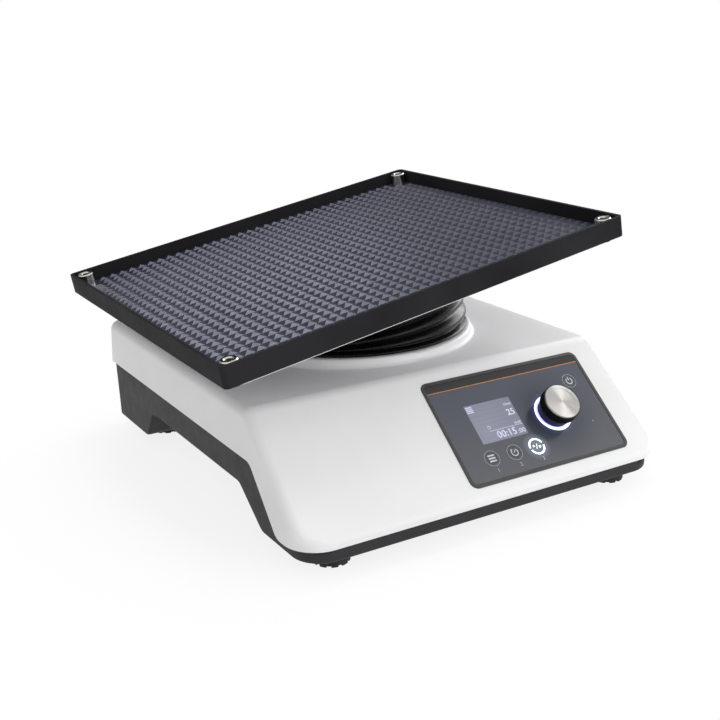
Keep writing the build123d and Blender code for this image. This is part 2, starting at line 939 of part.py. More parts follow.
def make_motor_pulley():
    """Small flanged pulley on the motor's shaft."""
    hub_bottom = bracket_top + 1.0
    pulley = turned(
        [
            (motor_shaft_radius + fit_gap, hub_bottom),
            (motor_pulley_radius - 3, hub_bottom),
            (motor_pulley_radius - 3, belt_bottom - 0.1 - pulley_flange_height),
            (motor_pulley_radius + pulley_flange, belt_bottom - 0.1 - pulley_flange_height),
            (motor_pulley_radius + pulley_flange, belt_bottom - 0.1),
            (motor_pulley_radius, belt_bottom - 0.1),
            (motor_pulley_radius, belt_top + 0.1),
            (motor_pulley_radius + pulley_flange, belt_top + 0.1),
            (motor_pulley_radius + pulley_flange, belt_top + pulley_flange_height),
            (motor_shaft_radius + fit_gap, belt_top + pulley_flange_height),
        ]
    )
    return motor_place * pulley


# Platform, measured along the tilted axis from the pivot
plate_top = tray_rise
plate_bottom = plate_top - plate_thickness
journal_bore, journal_rim, journal_height = journal_bearing
second_bearing = journal_start + journal_height + journal_gap
bearings_end = second_bearing + journal_height
journal_end = bearings_end + journal_ring_height + 1.0
hub_bottom = journal_start - 3.0
mat_top = tray_rise + tray_floor + mat_thickness
rim_top = tray_rise + tray_height
post_points = corners(tray_length / 2 - post_inset, tray_width / 2 - post_inset)
ring_outer_radius = bellows_valley - bellows_wall - seal_gap
ring_bolt_circle = ring_outer_radius - ring_wall - ring_foot / 2


def make_hub_bearings():
    """The two bearings on the inclined journal."""
    return platform_place * group([bearing(journal_bearing, z) for z in (journal_start, second_bearing)])


def make_journal_ring():
    """Retaining ring that keeps the hub's bearings on the journal."""
    outer = journal_bore + journal_ring_width
    return platform_place * tube(outer, journal_bore + fit_gap, bearings_end + fit_gap, bearings_end + journal_ring_height)


def make_platform_hub():
    """Hub that holds the tilted bearings and carries the support plate."""
    outer = journal_rim + hub_wall
    hub = turned(
        [
            (journal_rim, hub_bottom),
            (outer, hub_bottom),
            (outer, plate_bottom - hub_flange_height - 4),
            (outer + 4, plate_bottom - hub_flange_height),
            (hub_flange, plate_bottom - hub_flange_height),
            (hub_flange, plate_bottom),
            (journal_rim - 4, plate_bottom),
            (journal_rim - 4, bearings_end),
            (journal_rim, bearings_end),
        ]
    )
    groove = journal_start - hub_ring_height
    hub -= tube(journal_rim + hub_ring_depth, journal_rim - 1, groove - fit_gap, journal_start)
    for x, y in around(hub_bolt_circle, hub_bolts):
        hub -= Pos(x, y, 0) * hole(medium_screw, 0, plate_top)
    return platform_place * hub


def make_hub_rings():
    """Spacer between the hub's bearings and the spring ring that holds them in."""
    spacer = tube(
        journal_rim - fit_gap,
        journal_rim - hub_spacer_wall,
        journal_start + journal_height + fit_gap,
        second_bearing - fit_gap,
    )
    ring = tube(
        journal_rim + hub_ring_depth - fit_gap,
        journal_rim - hub_ring_wall,
        journal_start - hub_ring_height,
        journal_start - fit_gap,
    )
    slit = Pos(-journal_rim, 0, 0) * block(6, 5, 0, journal_start)
    return platform_place * group([spacer, ring - slit])


def make_support_plate():
    """Aluminium plate under the tray."""
    inset = 2 * plate_inset
    plate = slab(tray_length - inset, tray_width - inset, plate_bottom, plate_top, plate_corner)
    for x, y in around(hub_bolt_circle, hub_bolts):
        plate -= Pos(x, y, 0) * sink(medium_screw, plate_top, 0)
    for x, y in around(ring_bolt_circle, ring_bolts, 30):
        plate -= Pos(x, y, 0) * sink(small_screw, plate_top, 0)
    for x, y in post_points:
        plate -= Pos(x, y, 0) * upside_down(sink(large_screw, -plate_bottom, -rim_top))
    return platform_place * plate


def make_hub_screws():
    """Screws sunk in the support plate, into the hub's flange."""
    one = flat_screw(medium_screw, plate_top - 0.05, plate_bottom - hub_flange_height + 0.3)
    return platform_place * group([Pos(x, y, 0) * one for x, y in around(hub_bolt_circle, hub_bolts)])


def make_bellows_ring():
    """Ring under the support plate that the bellows' neck goes over."""
    ring = turned(
        [
            (ring_outer_radius - ring_wall, plate_bottom - bellows_neck - 1),
            (ring_outer_radius, plate_bottom - bellows_neck - 1),
            (ring_outer_radius, plate_bottom),
            (ring_outer_radius - ring_wall - ring_foot, plate_bottom),
            (ring_outer_radius - ring_wall - ring_foot, plate_bottom - ring_foot_height),
            (ring_outer_radius - ring_wall, plate_bottom - ring_foot_height),
        ]
    )
    for x, y in around(ring_bolt_circle, ring_bolts, 30):
        ring -= Pos(x, y, 0) * hole(small_screw, 0, tray_rise)
    return platform_place * ring


def make_ring_screws():
    """Screws sunk in the support plate, into the bellows ring."""
    one = flat_screw(small_screw, plate_top - 0.05, plate_bottom - ring_foot_height + 0.2)
    return platform_place * group([Pos(x, y, 0) * one for x, y in around(ring_bolt_circle, ring_bolts, 30)])


def make_bellows_band():
    """Steel band round the bellows' neck."""
    inner = bellows_valley + seal_gap
    top = plate_bottom - seal_gap
    return platform_place * tube(inner + band_thickness, inner, top - band_width, top)


def make_tray():
    """Shallow tray with a thin rim."""
    wall = 2 * tray_wall
    tray = slab(tray_length, tray_width, tray_rise, rim_top, tray_corner)
    tray = fillet(tray.faces().sort_by(Axis.Z)[0].edges(), tray_edge_rounding)
    inner = slab(tray_length - wall, tray_width - wall, tray_rise + tray_floor, rim_top + 1, tray_corner - tray_wall)
    tray -= inner
    for x, y in post_points:
        tray -= Pos(x, y, 0) * hole(large_screw, 0, rim_top)
    return platform_place * tray


def ridges(length, width):
    """A plate with straight ridges side by side along its length, as wide as given."""
    count = round(length / stud_pitch)
    step = length / count
    low, bottom = mat_top - stud_height, tray_rise + tray_floor
    outline = [(-length / 2, bottom)]
    for i in range(count):
        outline += [(i * step - length / 2, low), ((i + 0.5) * step - length / 2, mat_top)]
    outline += [(length / 2, low), (length / 2, bottom)]
    face = make_face(Polyline(*[(x, 0, z) for x, z in outline], close=True))
    return extrude(face, amount=width / 2, both=True)


def make_rubber_mat():
    """Rubber mat of low pyramids that fills the tray round the corner posts."""
    side = 2 * (tray_wall + mat_gap)
    length, width = tray_length - side, tray_width - side
    mat = slab(length, width, tray_rise + tray_floor, mat_top, mat_corner)
    mat &= ridges(length, width) & Rot(0, 0, 90) * ridges(width, length)
    for x, y in post_points:
        mat -= Pos(x, y, 0) * disc(post_radius + mat_gap, 0, rim_top)
    return platform_place * mat


def make_corner_posts():
    """Four metal posts with a threaded hole, for clamps and stacking."""
    bottom, top = tray_rise + tray_floor, rim_top - post_below_rim
    post = turned(
        [
            (large_screw[0] + screw_gap, bottom),
            (post_radius, bottom),
            (post_radius, top - post_chamfer),
            (post_radius - post_chamfer, top),
            (thread_radius + thread_mouth, top),
            (thread_radius, top - thread_mouth),
            (thread_radius, top - thread_depth),
            (0, top - thread_depth),
            (0, bottom + post_screw_depth),
            (large_screw[0] + screw_gap, bottom + post_screw_depth),
        ]
    )
    return platform_place * group([Pos(x, y, 0) * post for x, y in post_points])


def make_post_screws():
    """Countersunk screws from below through plate and tray into the posts."""
    tip = tray_rise + tray_floor + post_screw_depth - 0.3
    one = upside_down(flat_screw(large_screw, -plate_bottom - 0.05, -tip))
    return platform_place * group([Pos(x, y, 0) * one for x, y in post_points])


# Bellows
def bellows_circles(shift):
    """Circles up the bellows, from its lip to its neck: a wall's two sides differ by shift."""
    low = collar_top + seal_gap
    neck = plate_bottom - seal_gap
    neck_low = neck - bellows_neck
    start = low + bellows_lip + bellows_lead
    rise = pivot_height + neck_low * cos(tilt) - start
    half = (bellows_crest + bellows_valley) / 2
    if shift:
        rows = [(z, 0.0, 0.0, bellows_edge) for z in (low - bellows_skirt - 1, start - bellows_lead)]
    else:
        rows = [(low, 0.0, 0.0, bellows_crest - 0.7), (low + bellows_lip, 0.0, 0.0, bellows_crest)]
    for i in range(bellows_ribs):
        for part, radius in ((0.0, bellows_valley), (0.38, bellows_crest), (0.62, bellows_crest)):
            share = (i + part) / bellows_ribs
            low_side = (rise - half * sin(tilt)) * share**bellows_squeeze
            high_side = (rise + half * sin(tilt)) * (share + bellows_spread * share * (1 - share))
            lean = asin((high_side - low_side) / (2 * half))
            rows.append((start + (high_side + low_side) / 2, lean, -neck_low * sin(tilt) * share, radius))
    rows.append((pivot_height + neck_low * cos(tilt), tilt, -neck_low * sin(tilt), bellows_valley))
    rows.append((pivot_height + neck * cos(tilt), tilt, -neck * sin(tilt), bellows_valley))
    return [
        Plane(origin=(x, 0, z), x_dir=(0, 1, 0), z_dir=(-sin(lean), 0, cos(lean))) * Circle(r - shift)
        for z, lean, x, r in rows
    ]


def make_bellows():
    """Ribbed rubber bellows with its bore, from the collar to the platform."""
    low = collar_top + seal_gap
    body = loft(bellows_circles(0), ruled=True)
    body += disc(bellows_edge, low - bellows_skirt, low + bellows_lip / 2)
    return axis_place * (body - loft(bellows_circles(bellows_wall), ruled=True))


def make_bellows_clamp():
    """Spring ring that holds the bellows' skirt in the collar."""
    outer = bellows_edge - bellows_wall - seal_gap
    bottom = collar_top - clamp_height - 0.8
    return axis_place * tube(outer, outer - clamp_wall, bottom, bottom + clamp_height)


# Control panel, each piece in the panel's own frame: z = 0 is the face of the slope
knob_point = (knob_right, -knob_down)
key_points = [(-key_row_left + i * key_pitch, -key_row_down) for i in (-1, 0, 1)] + [(standby_right, standby_up)]
glass_top = glass_thickness - panel_recess
board_top = -board_depth
spacer_points = corners(panel_width / 2 - panel_ledge / 2 - panel_fit, panel_height / 2 - panel_ledge / 2)


def at_knob(shape):
    """A piece of the knob put in its place on the panel."""
    return panel_place * (Pos(*knob_point, 0) * shape)


def make_panel_frame():
    """Dark frame round the panel's glass."""
    frame = slab(panel_width, panel_height, -panel_recess, frame_proud, panel_corner)
    wide, high = panel_width - 2 * frame_border, panel_height - 2 * frame_border
    return panel_place * (frame - slab(wide, high, -5, 5, panel_corner - frame_border))


def make_panel_glass():
    """Glass of the control panel, with a window for the display and a hole for the knob."""
    gap = 2 * (frame_border + panel_fit)
    glass = slab(panel_width - gap, panel_height - gap, -panel_recess, glass_top, panel_corner - frame_border - panel_fit)
    glass -= Pos(-display_left, display_up, 0) * block(display_width, display_height, -5, 5)
    glass -= Pos(*knob_point, 0) * disc(ring_outer + panel_fit, -5, 5)
    return panel_place * glass


def make_display():
    """Display module whose face stands in the glass's window."""
    back = -panel_recess - 0.1
    face = block(display_width - 2 * panel_fit, display_height - 2 * panel_fit, back - 1, glass_top - display_sunk)
    module = slab(display_width + 2 * display_margin, display_height + display_margin, back - display_depth, back, 1)
    pins = Pos(0, display_height / 3, 0) * block(display_width / 2, 3, board_top, back - display_depth)
    return panel_place * (Pos(-display_left, display_up, 0) * (face + module + pins))


def make_touch_sensors():
    """Sensor pads behind the glass, one for each touch key."""
    pad = disc(key_radius, -panel_recess - key_pad, -panel_recess)
    stem = disc(1.2, board_top, -panel_recess - key_pad)
    return panel_place * group([Pos(x, y, 0) * (pad + stem) for x, y in key_points])


def make_light_ring():
    """Clear ring that carries light round the knob."""
    flange_bottom = -panel_recess - ring_web
    ring = turned(
        [
            (bushing_radius + panel_fit, flange_bottom),
            (ring_outer + ring_flange, flange_bottom),
            (ring_outer + ring_flange, -panel_recess),
            (ring_outer, -panel_recess),
            (ring_outer, glass_top + ring_proud - 0.3),
            (ring_outer - 0.3, glass_top + ring_proud),
            (ring_inner, glass_top + ring_proud),
            (ring_inner, flange_bottom + ring_web),
            (bushing_radius + panel_fit, flange_bottom + ring_web),
        ]
    )
    return at_knob(ring)


def make_control_board():
    """Circuit board behind the panel."""
    wide, high = panel_width - 2 * board_margin, panel_height - 2 * board_margin
    board = slab(wide, high, board_top - board_thickness, board_top, 3)
    chip = Pos(20, 22, 0) * block(14, 14, board_top - board_thickness - 1.6, board_top - board_thickness)
    plug = Pos(-35, -28, 0) * block(24, 6, board_top - board_thickness - 7, board_top - board_thickness)
    board += chip + plug
    for x, y in spacer_points:
        board -= Pos(x, y, 0) * hole(small_screw, -20, 0)
    return panel_place * board


def make_board_spacers():
    """Spacers between the board and the back of the recess."""
    one = tube(spacer_radius, small_screw[0] + screw_gap, board_top, -shell_wall)
    return panel_place * group([Pos(x, y, 0) * one for x, y in spacer_points])


def make_board_screws():
    """Screws through the board into its spacers."""
    one = upside_down(screw(small_screw, -(board_top - board_thickness), shell_wall + 0.3))
    return panel_place * group([Pos(x, y, 0) * one for x, y in spacer_points])


def make_encoder():
    """Rotary encoder on the board, with a bushing for its shaft."""
    top = board_top + encoder_height
    body = block(encoder_width, encoder_width, board_top, top) + disc(bushing_radius, board_top, glass_top)
    body -= disc(shaft_radius + running_gap, board_top + 0.4, 5)
    return at_knob(body)


plunger_top = board_top + 4.6


def make_encoder_plunger():
    """Plunger of the push switch under the shaft."""
    bottom = board_top + 0.4 + knob_press + 0.3
    return at_knob(disc(shaft_radius - 0.4, bottom, plunger_top))


def make_encoder_shaft():
    """Shaft of the encoder, flattened where the knob grips it."""
    shaft = disc(shaft_radius, plunger_top, plunger_top + shaft_length)
    flat = Pos(shaft_radius + shaft_flat, 0, 0) * block(2 * shaft_radius, 4 * shaft_radius, knob_lift, 40)
    return at_knob(shaft - flat)


shaft_flat = 2.0
knob_top = knob_lift + knob_height


def make_knob_body():
    """Knob that flares upwards from its foot, with a D-shaped bore."""
    bottom = knob_lift
    body = turned(
        [
            (0, bottom),
            (knob_foot, bottom),
            (knob_radius - knob_edge, bottom + knob_flare),
            (knob_radius, bottom + knob_flare + 3 * knob_edge),
            (knob_radius - knob_taper, knob_top),
            (0, knob_top),
        ]
    )
    body -= tube(knob_foot - knob_wall, shaft_radius + 4, bottom - 1, knob_top - knob_wall)
    bore = disc(shaft_radius + running_gap, bottom - 1, plunger_top + shaft_length + 0.1)
    bore -= Pos(shaft_radius + shaft_flat + 0.02, 0, 0) * block(2 * shaft_radius, 4 * shaft_radius, 0, 40)
    return at_knob(body - bore - knob_screw_form(screw_gap, knob_radius + 1))


def knob_screw_form(extra, reach):
    """Cross hole in the knob, or the grub screw in it."""
    start = shaft_flat + 0.05
    rod = Cylinder(small_screw[0] + extra, reach - start)
    return Pos((reach + start) / 2, 0, knob_lift + 6) * Rot(0, 90, 0) * rod


def make_knob_screw():
    """Grub screw that bears on the flat of the shaft."""
    return at_knob(knob_screw_form(0, shaft_radius + 3.6))


def make_knob_cap():
    """Metal face of the knob, slightly dished."""
    radius = knob_radius - knob_taper - knob_cap_inset
    return at_knob(
        turned(
            [
                (0, knob_top),
                (radius, knob_top),
                (radius, knob_top + knob_cap_height - 0.4),
                (radius - 0.4, knob_top + knob_cap_height),
                (radius - 2.2, knob_top + knob_cap_height),
                (radius - 2.8, knob_top + knob_cap_height - 0.35),
                (0, knob_top + knob_cap_height - 0.35),
            ]
        )
    )


# Power
supply_screw_points = corners(supply_width / 2 - 8, supply_length / 2 - 16)
supply_left = chassis_width / 2 - chassis_screw_side - medium_screw[1] - supply_gap
supply_y = (chassis_front_y + chassis_back_y) / 2 - supply_forward
supply_place = base_place * Pos(supply_width / 2 - supply_left, supply_y, 0)


def make_supply_screws():
    """Screws from below through the chassis plate into the supply's case."""
    one = upside_down(flat_screw(small_screw, -floor_top - 0.05, -(chassis_top + 3)))
    return supply_place * group([Pos(x, y, 0) * one for x, y in supply_screw_points])


def make_power_supply():
    """Cased power supply on the chassis plate, with vents and a terminal row."""
    case = slab(supply_width, supply_length, chassis_top, chassis_top + supply_height, 1.2)
    step = block(supply_width - 3, terminal_depth, chassis_top + supply_height / 2, chassis_top + supply_height + 1)
    case -= Pos(0, (supply_length - terminal_depth) / 2, 0) * step
    for i in range(supply_slots):
        slot = block(supply_width - 24, 2.4, chassis_top + supply_height - 1.5, chassis_top + supply_height + 1)
        case -= Pos(0, (i - supply_slots / 2) * 8.5, 0) * slot
    for i in range(5):
        stud = disc(2.6, chassis_top + supply_height / 2 - 1, chassis_top + supply_height / 2 + 2.5)
        case += Pos((i - 2) * 12, (supply_length - terminal_depth) / 2, 0) * stud
    for x, y in supply_screw_points:
        case -= Pos(x, y, 0) * hole(small_screw, floor_top, chassis_top + 3.5)
    return supply_place * case


inlet_seat = base_back - (waist_width - pan_waist_width) / 2 + 0.5
inlet_face = inlet_seat + inlet_flange_thickness
inlet_place = base_place * Pos(-inlet_left, 0, inlet_height)


def cavity(place, width, height, depth):
    """A box sunk into the inlet module from its face."""
    return Pos(place, inlet_face + 1 - (depth + 1) / 2, 0) * Box(width, depth + 1, height)


def make_power_inlet():
    """Mains inlet module: socket, drawer slot and switch opening in one moulding."""
    body = Box(inlet_body_width, inlet_depth, inlet_body_height)
    body = Pos(0, inlet_seat - inlet_depth / 2, 0) * body
    edge = 2 * inlet_flange
    flange = Box(inlet_body_width + edge, inlet_flange_thickness, inlet_body_height + edge)
    flange = fillet(flange.edges().filter_by(Axis.Y), 3)
    body += Pos(0, inlet_seat + inlet_flange_thickness / 2, 0) * flange
    socket = cavity(socket_place, socket_width, socket_height, socket_depth)
    socket = chamfer(socket.edges().filter_by(Axis.Y).group_by(Axis.Z)[-1], 4)
    body -= socket
    body -= cavity(drawer_place, drawer_width + 2 * module_gap, drawer_height + 2 * module_gap, drawer_depth + 3)
    body -= cavity(rocker_place, rocker_width + 2 * module_gap, rocker_height + 3, rocker_depth + 5)
    pin = Rot(0, 90, 0) * Cylinder(1.02, rocker_width + 8)
    body -= Pos(rocker_place, inlet_face - 2, 0) * pin
    return inlet_place * body


def make_inlet_pins():
    """The three contact blades in the socket."""
    back = inlet_face - socket_depth
    blade = Box(blade_width, blade_length, blade_height)
    spots = [(-blade_pitch, 0), (blade_pitch, 0), (0, blade_height)]
    return inlet_place * group([Pos(socket_place + x, back + blade_length / 2, z) * blade for x, z in spots])


def make_rocker_switch():
    """Rocker of the mains switch, on its two pivot stubs."""
    half = rocker_height / 2
    outline = [(-rocker_depth, -3), (-rocker_depth, 3), (1.5, half), (3.6, half - 0.6), (2.2, 0), (3.6, 0.6 - half), (1.5, -half)]
    face = make_face(Polyline(*[(0, y, z) for y, z in outline], close=True))
    rocker = extrude(face, amount=rocker_width / 2, both=True)
    rocker += Rot(0, 90, 0) * Cylinder(1.0, rocker_width + 5)
    return inlet_place * (Pos(rocker_place, inlet_face - 2, 0) * Rot(rocker_angle, 0, 0) * rocker)


def make_fuse_drawer():
    """Drawer that holds two fuses."""
    body = Box(drawer_width, drawer_depth, drawer_height)
    body = Pos(0, -drawer_depth / 2, 0) * body
    face = Pos(0, drawer_face / 2, 0) * Box(drawer_width + 2, drawer_face, drawer_height + 2)
    grip = Pos(0, drawer_face, -drawer_height / 2) * Box(drawer_width - 2, 2 * drawer_face, 3)
    drawer = body + face - grip
    for z in fuse_heights:
        bore = Rot(90, 0, 0) * Cylinder(fuse_radius + 0.05, fuse_length + 0.4)
        drawer -= Pos(0, -drawer_depth + fuse_length / 2, z) * bore
    return inlet_place * (Pos(drawer_place, inlet_face + 0.05, 0) * drawer)


fuse_heights = (-drawer_height / 4, drawer_height / 4)


def make_fuses():
    """Two glass fuses with metal caps."""
    fuses = []
    for z in fuse_heights:
        fuse = Rot(90, 0, 0) * Cylinder(fuse_radius, fuse_length)
        fuses.append(Pos(drawer_place, inlet_face + 0.05 - drawer_depth + fuse_length / 2, z) * fuse)
    return inlet_place * group(fuses)


pieces = {
    "base_pan": make_base_pan,
    "top_shell": make_top_shell,
    "feet": make_feet,
    "foot_screws": make_foot_screws,
    "shell_screws": make_shell_screws,
    "chassis_plate": make_chassis_plate,
    "chassis_screws": make_chassis_screws,
    "bearing_housing": make_bearing_housing,
    "housing_screws": make_housing_screws,
    "main_bearings": make_main_bearings,
    "rotor_shaft": make_rotor_shaft,
    "spindle_nut": make_spindle_nut,
    "drive_pulley": make_drive_pulley,
    "counterweight": make_counterweight,
    "counterweight_screws": make_counterweight_screws,
    "drive_belt": make_drive_belt,
    "motor": make_motor,
    "motor_bracket": make_motor_bracket,
    "bracket_screws": make_bracket_screws,
    "motor_screws": make_motor_screws,
    "motor_shaft": make_motor_shaft,
    "motor_pulley": make_motor_pulley,
    "hub_bearings": make_hub_bearings,
    "journal_ring": make_journal_ring,
    "hub_rings": make_hub_rings,
    "platform_hub": make_platform_hub,
    "hub_screws": make_hub_screws,
    "support_plate": make_support_plate,
    "bellows": make_bellows,
    "bellows_clamp": make_bellows_clamp,
    "bellows_ring": make_bellows_ring,
    "ring_screws": make_ring_screws,
    "bellows_band": make_bellows_band,
    "tray": make_tray,
    "rubber_mat": make_rubber_mat,
    "corner_posts": make_corner_posts,
    "post_screws": make_post_screws,
    "panel_frame": make_panel_frame,
    "panel_glass": make_panel_glass,
    "display": make_display,
    "touch_sensors": make_touch_sensors,
    "light_ring": make_light_ring,
    "control_board": make_control_board,
    "board_spacers": make_board_spacers,
    "board_screws": make_board_screws,
    "encoder": make_encoder,
    "encoder_plunger": make_encoder_plunger,
    "encoder_shaft": make_encoder_shaft,
    "knob_body": make_knob_body,
    "knob_screw": make_knob_screw,
    "knob_cap": make_knob_cap,
    "power_supply": make_power_supply,
    "supply_screws": make_supply_screws,
    "power_inlet": make_power_inlet,
    "inlet_pins": make_inlet_pins,
    "rocker_switch": make_rocker_switch,
    "fuse_drawer": make_fuse_drawer,
    "fuses": make_fuses,
}

os.makedirs("parts", exist_ok=True)
for name, make in pieces.items():
    export_step(make(), f"parts/{name}.step")
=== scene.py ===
import json
from math import asin, atan2, cos, pi, radians, sin

import bmesh
import bpy
from mathutils import Matrix, Vector

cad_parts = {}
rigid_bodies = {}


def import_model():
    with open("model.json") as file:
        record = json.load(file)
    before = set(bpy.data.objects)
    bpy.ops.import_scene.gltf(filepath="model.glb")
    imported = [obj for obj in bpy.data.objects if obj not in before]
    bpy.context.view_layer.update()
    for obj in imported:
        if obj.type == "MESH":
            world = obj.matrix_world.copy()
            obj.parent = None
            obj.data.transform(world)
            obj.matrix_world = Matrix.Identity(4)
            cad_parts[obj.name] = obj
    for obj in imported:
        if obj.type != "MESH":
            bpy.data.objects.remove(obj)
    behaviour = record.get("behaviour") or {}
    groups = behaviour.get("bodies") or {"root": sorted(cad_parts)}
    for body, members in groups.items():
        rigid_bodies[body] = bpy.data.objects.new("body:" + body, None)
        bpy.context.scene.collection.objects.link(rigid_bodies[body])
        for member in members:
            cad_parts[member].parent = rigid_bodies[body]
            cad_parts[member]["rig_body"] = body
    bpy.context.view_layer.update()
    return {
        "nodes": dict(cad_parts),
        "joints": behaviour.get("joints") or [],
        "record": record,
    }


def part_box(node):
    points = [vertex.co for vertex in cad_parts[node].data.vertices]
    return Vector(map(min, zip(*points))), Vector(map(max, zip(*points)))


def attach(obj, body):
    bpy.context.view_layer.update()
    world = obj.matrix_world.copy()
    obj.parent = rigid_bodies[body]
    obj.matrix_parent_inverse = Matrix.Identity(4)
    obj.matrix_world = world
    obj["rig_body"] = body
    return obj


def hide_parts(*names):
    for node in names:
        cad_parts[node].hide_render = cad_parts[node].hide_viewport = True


# Looks of a rocking shaker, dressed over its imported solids. Lengths are in metres, as in Blender.

bl_info = {
    "name": "Rocking shaker",
    "version": (1, 0, 0),
    "blender": (4, 5, 0),
    "location": "View3D > Sidebar > Shaker",
    "description": "Dresses the packed solids of a laboratory rocking shaker",
    "category": "Object",
}

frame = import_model()
mm = 0.001

# Places taken from the frame
joints = {joint["name"]: joint for joint in frame["joints"]}
pivot = Vector(joints["platform_turn"]["pos_m"])
platform_up = Vector(joints["platform_turn"]["axis"]).normalized()
tilt = atan2(-platform_up.x, platform_up.z)
panel_up = Vector(joints["knob_turn"]["axis"]).normalized()
x_axis = Vector((1, 0, 0))


def placed(origin, x_axis, z_axis):
    """The matrix of a local frame from its origin and two of its axes."""
    z_axis = z_axis.normalized()
    x_axis = x_axis.normalized()
    y_axis = z_axis.cross(x_axis)
    turn = Matrix((x_axis, y_axis, z_axis)).transposed().to_4x4()
    return Matrix.Translation(origin) @ turn


def local_box(node, place):
    """The lowest and highest corners of a node in a local frame."""
    back = place.inverted()
    points = [back @ vertex.co for vertex in frame["nodes"][node].data.vertices]
    low = Vector([min(point[i] for point in points) for i in range(3)])
    high = Vector([max(point[i] for point in points) for i in range(3)])
    return low, high


platform_frame = placed(pivot, Vector((cos(tilt), 0, sin(tilt))), platform_up)
tilted = placed(Vector(), x_axis, panel_up)
panel_low, panel_high = local_box("panel_frame", tilted)
glass_top = local_box("panel_glass", tilted)[1].z
panel_middle = (panel_low + panel_high) / 2
panel_frame = placed(tilted @ Vector((panel_middle.x, panel_middle.y, glass_top)), x_axis, panel_up)
panel_half_width, panel_half_height = (panel_high.xy - panel_low.xy) / 2
knob_spot = (panel_frame.inverted() @ Vector(joints["knob_turn"]["pos_m"])).xy

# Spots on the panel, from its middle, to the right and up the slope
accent_up = 35.8 * mm
key_row = -26.0 * mm
menu_key, timer_key, start_key = [Vector((x * mm, key_row)) for x in (-47.7, -26.7, -5.7)]
standby_key = Vector((55.6, 20.3)) * mm
sensor_spot = Vector((55.7, -17.6)) * mm
ring_inner, ring_outer = 12.9 * mm, 15.7 * mm


# Colours and shader nodes
def colour(code):
    """An sRGB hex colour as linear red, green, blue and alpha; one picked in the sidebar is linear."""
    if not isinstance(code, str):
        return tuple(code)
    values = [int(code[i : i + 2], 16) / 255 for i in (1, 3, 5)]
    linear = [v / 12.92 if v <= 0.04045 else ((v + 0.055) / 1.055) ** 2.4 for v in values]
    return (*linear, 1.0)


def grey(value):
    """An even grey, from 0 for black to 1 for white."""
    return (value, value, value, 1.0)


def add_node(tree, kind, sockets=None, stops=(), **settings):
    """Adds a shader node; a socket takes a value or another node's output, and a ramp takes two stops."""
    made = tree.nodes.new(kind)
    for name, value in settings.items():
        setattr(made, name, value)
    for name, value in (sockets or {}).items():
        if isinstance(value, bpy.types.NodeSocket):
            tree.links.new(value, made.inputs[name])
        else:
            made.inputs[name].default_value = value
    for i, (position, shade) in enumerate(stops):
        made.color_ramp.elements[i].position = position
        made.color_ramp.elements[i].color = shade
    return made


def emptied_tree(owner):
    """The node tree of a material or world, cleared of the nodes it starts with."""
    owner.use_nodes = True
    owner.node_tree.nodes.clear()
    return owner.node_tree


def new_material(name, **shader_values):
    """A material with a Principled shader, whose plain values are set on its own sockets."""
    material = bpy.data.materials.new(name)
    tree = emptied_tree(material)
    shader = add_node(tree, "ShaderNodeBsdfPrincipled")
    add_node(tree, "ShaderNodeOutputMaterial", {"Surface": shader.outputs["BSDF"]})
    for key, value in shader_values.items():
        shader.inputs[key.replace("_", " ")].default_value = value
    return material, tree, shader


def local_points(tree, place):
    """Object coordinates turned into a local frame, for patterns that follow a slanted piece."""
    points = add_node(tree, "ShaderNodeTexCoord").outputs["Object"]
    location, rotation, _ = place.inverted().decompose()
    sockets = {"Vector": points, "Location": location, "Rotation": rotation.to_euler()}
    return add_node(tree, "ShaderNodeMapping", sockets).outputs["Vector"]


def shaded_from(tree, points, spot, stops):
    """Shades that follow the distance from a spot in the plane of the first two axes; stops are in metres."""
    sockets = {0: points, 1: (1, 1, 0)}
    flat = add_node(tree, "ShaderNodeVectorMath", sockets, operation="MULTIPLY").outputs[0]
    sockets = {0: flat, 1: (*spot, 0)}
    distance = add_node(tree, "ShaderNodeVectorMath", sockets, operation="DISTANCE").outputs["Value"]
    return add_node(tree, "ShaderNodeValToRGB", {"Fac": distance}, stops).outputs["Color"]


def blotches(tree, size, detail=2.0):
    """Soft random blotches about size metres wide, fixed to the piece."""
    points = add_node(tree, "ShaderNodeTexCoord").outputs["Object"]
    sockets = {"Vector": points, "Scale": 1 / size, "Detail": detail}
    return add_node(tree, "ShaderNodeTexNoise", sockets).outputs["Fac"]


def drift(tree, size, detail, edge, low, high):
    """Slow drift between two shades, which are plain where the noise is below edge or above 1 - edge."""
    stops = [(edge, low), (1 - edge, high)]
    return add_node(tree, "ShaderNodeValToRGB", {"Fac": blotches(tree, size, detail)}, stops).outputs["Color"]


def tone(tree, shader, size, low, high):
    """Slight drift of the base colour between two shades."""
    tree.links.new(drift(tree, size, 2.0, 0.35, colour(low), colour(high)), shader.inputs["Base Color"])


def wear(tree, shader, size, low, high):
    """Slight drift of the roughness."""
    tree.links.new(drift(tree, size, 4.0, 0.3, grey(low), grey(high)), shader.inputs["Roughness"])


def grain(tree, shader, size, depth, detail=2.0):
    """Fine relief from the mould or the coat; size and depth are in metres."""
    sockets = {"Height": blotches(tree, size, detail), "Distance": depth, "Strength": 1.0}
    tree.links.new(add_node(tree, "ShaderNodeBump", sockets).outputs["Normal"], shader.inputs["Normal"])


# Plastics, rubbers and paints
def moulded(name, low, high, roughness, grain_size, grain_depth, **shader_values):
    """Injection moulded plastic: even colour, spark-eroded grain from the mould."""
    material, tree, shader = new_material(name, **shader_values)
    spread = 0.04
    tone(tree, shader, 60 * mm, low, high)
    wear(tree, shader, 9 * mm, roughness - spread, roughness + spread)
    grain(tree, shader, grain_size, grain_depth)
    return material


def white_abs(finishes):
    """White ABS housing: satin, with a very fine mould grain that softens its highlights."""
    low, high = finishes.housing_low, finishes.housing
    return moulded("white_abs_moulded", low, high, 0.42, 0.5 * mm, 0.006 * mm, IOR=1.54)


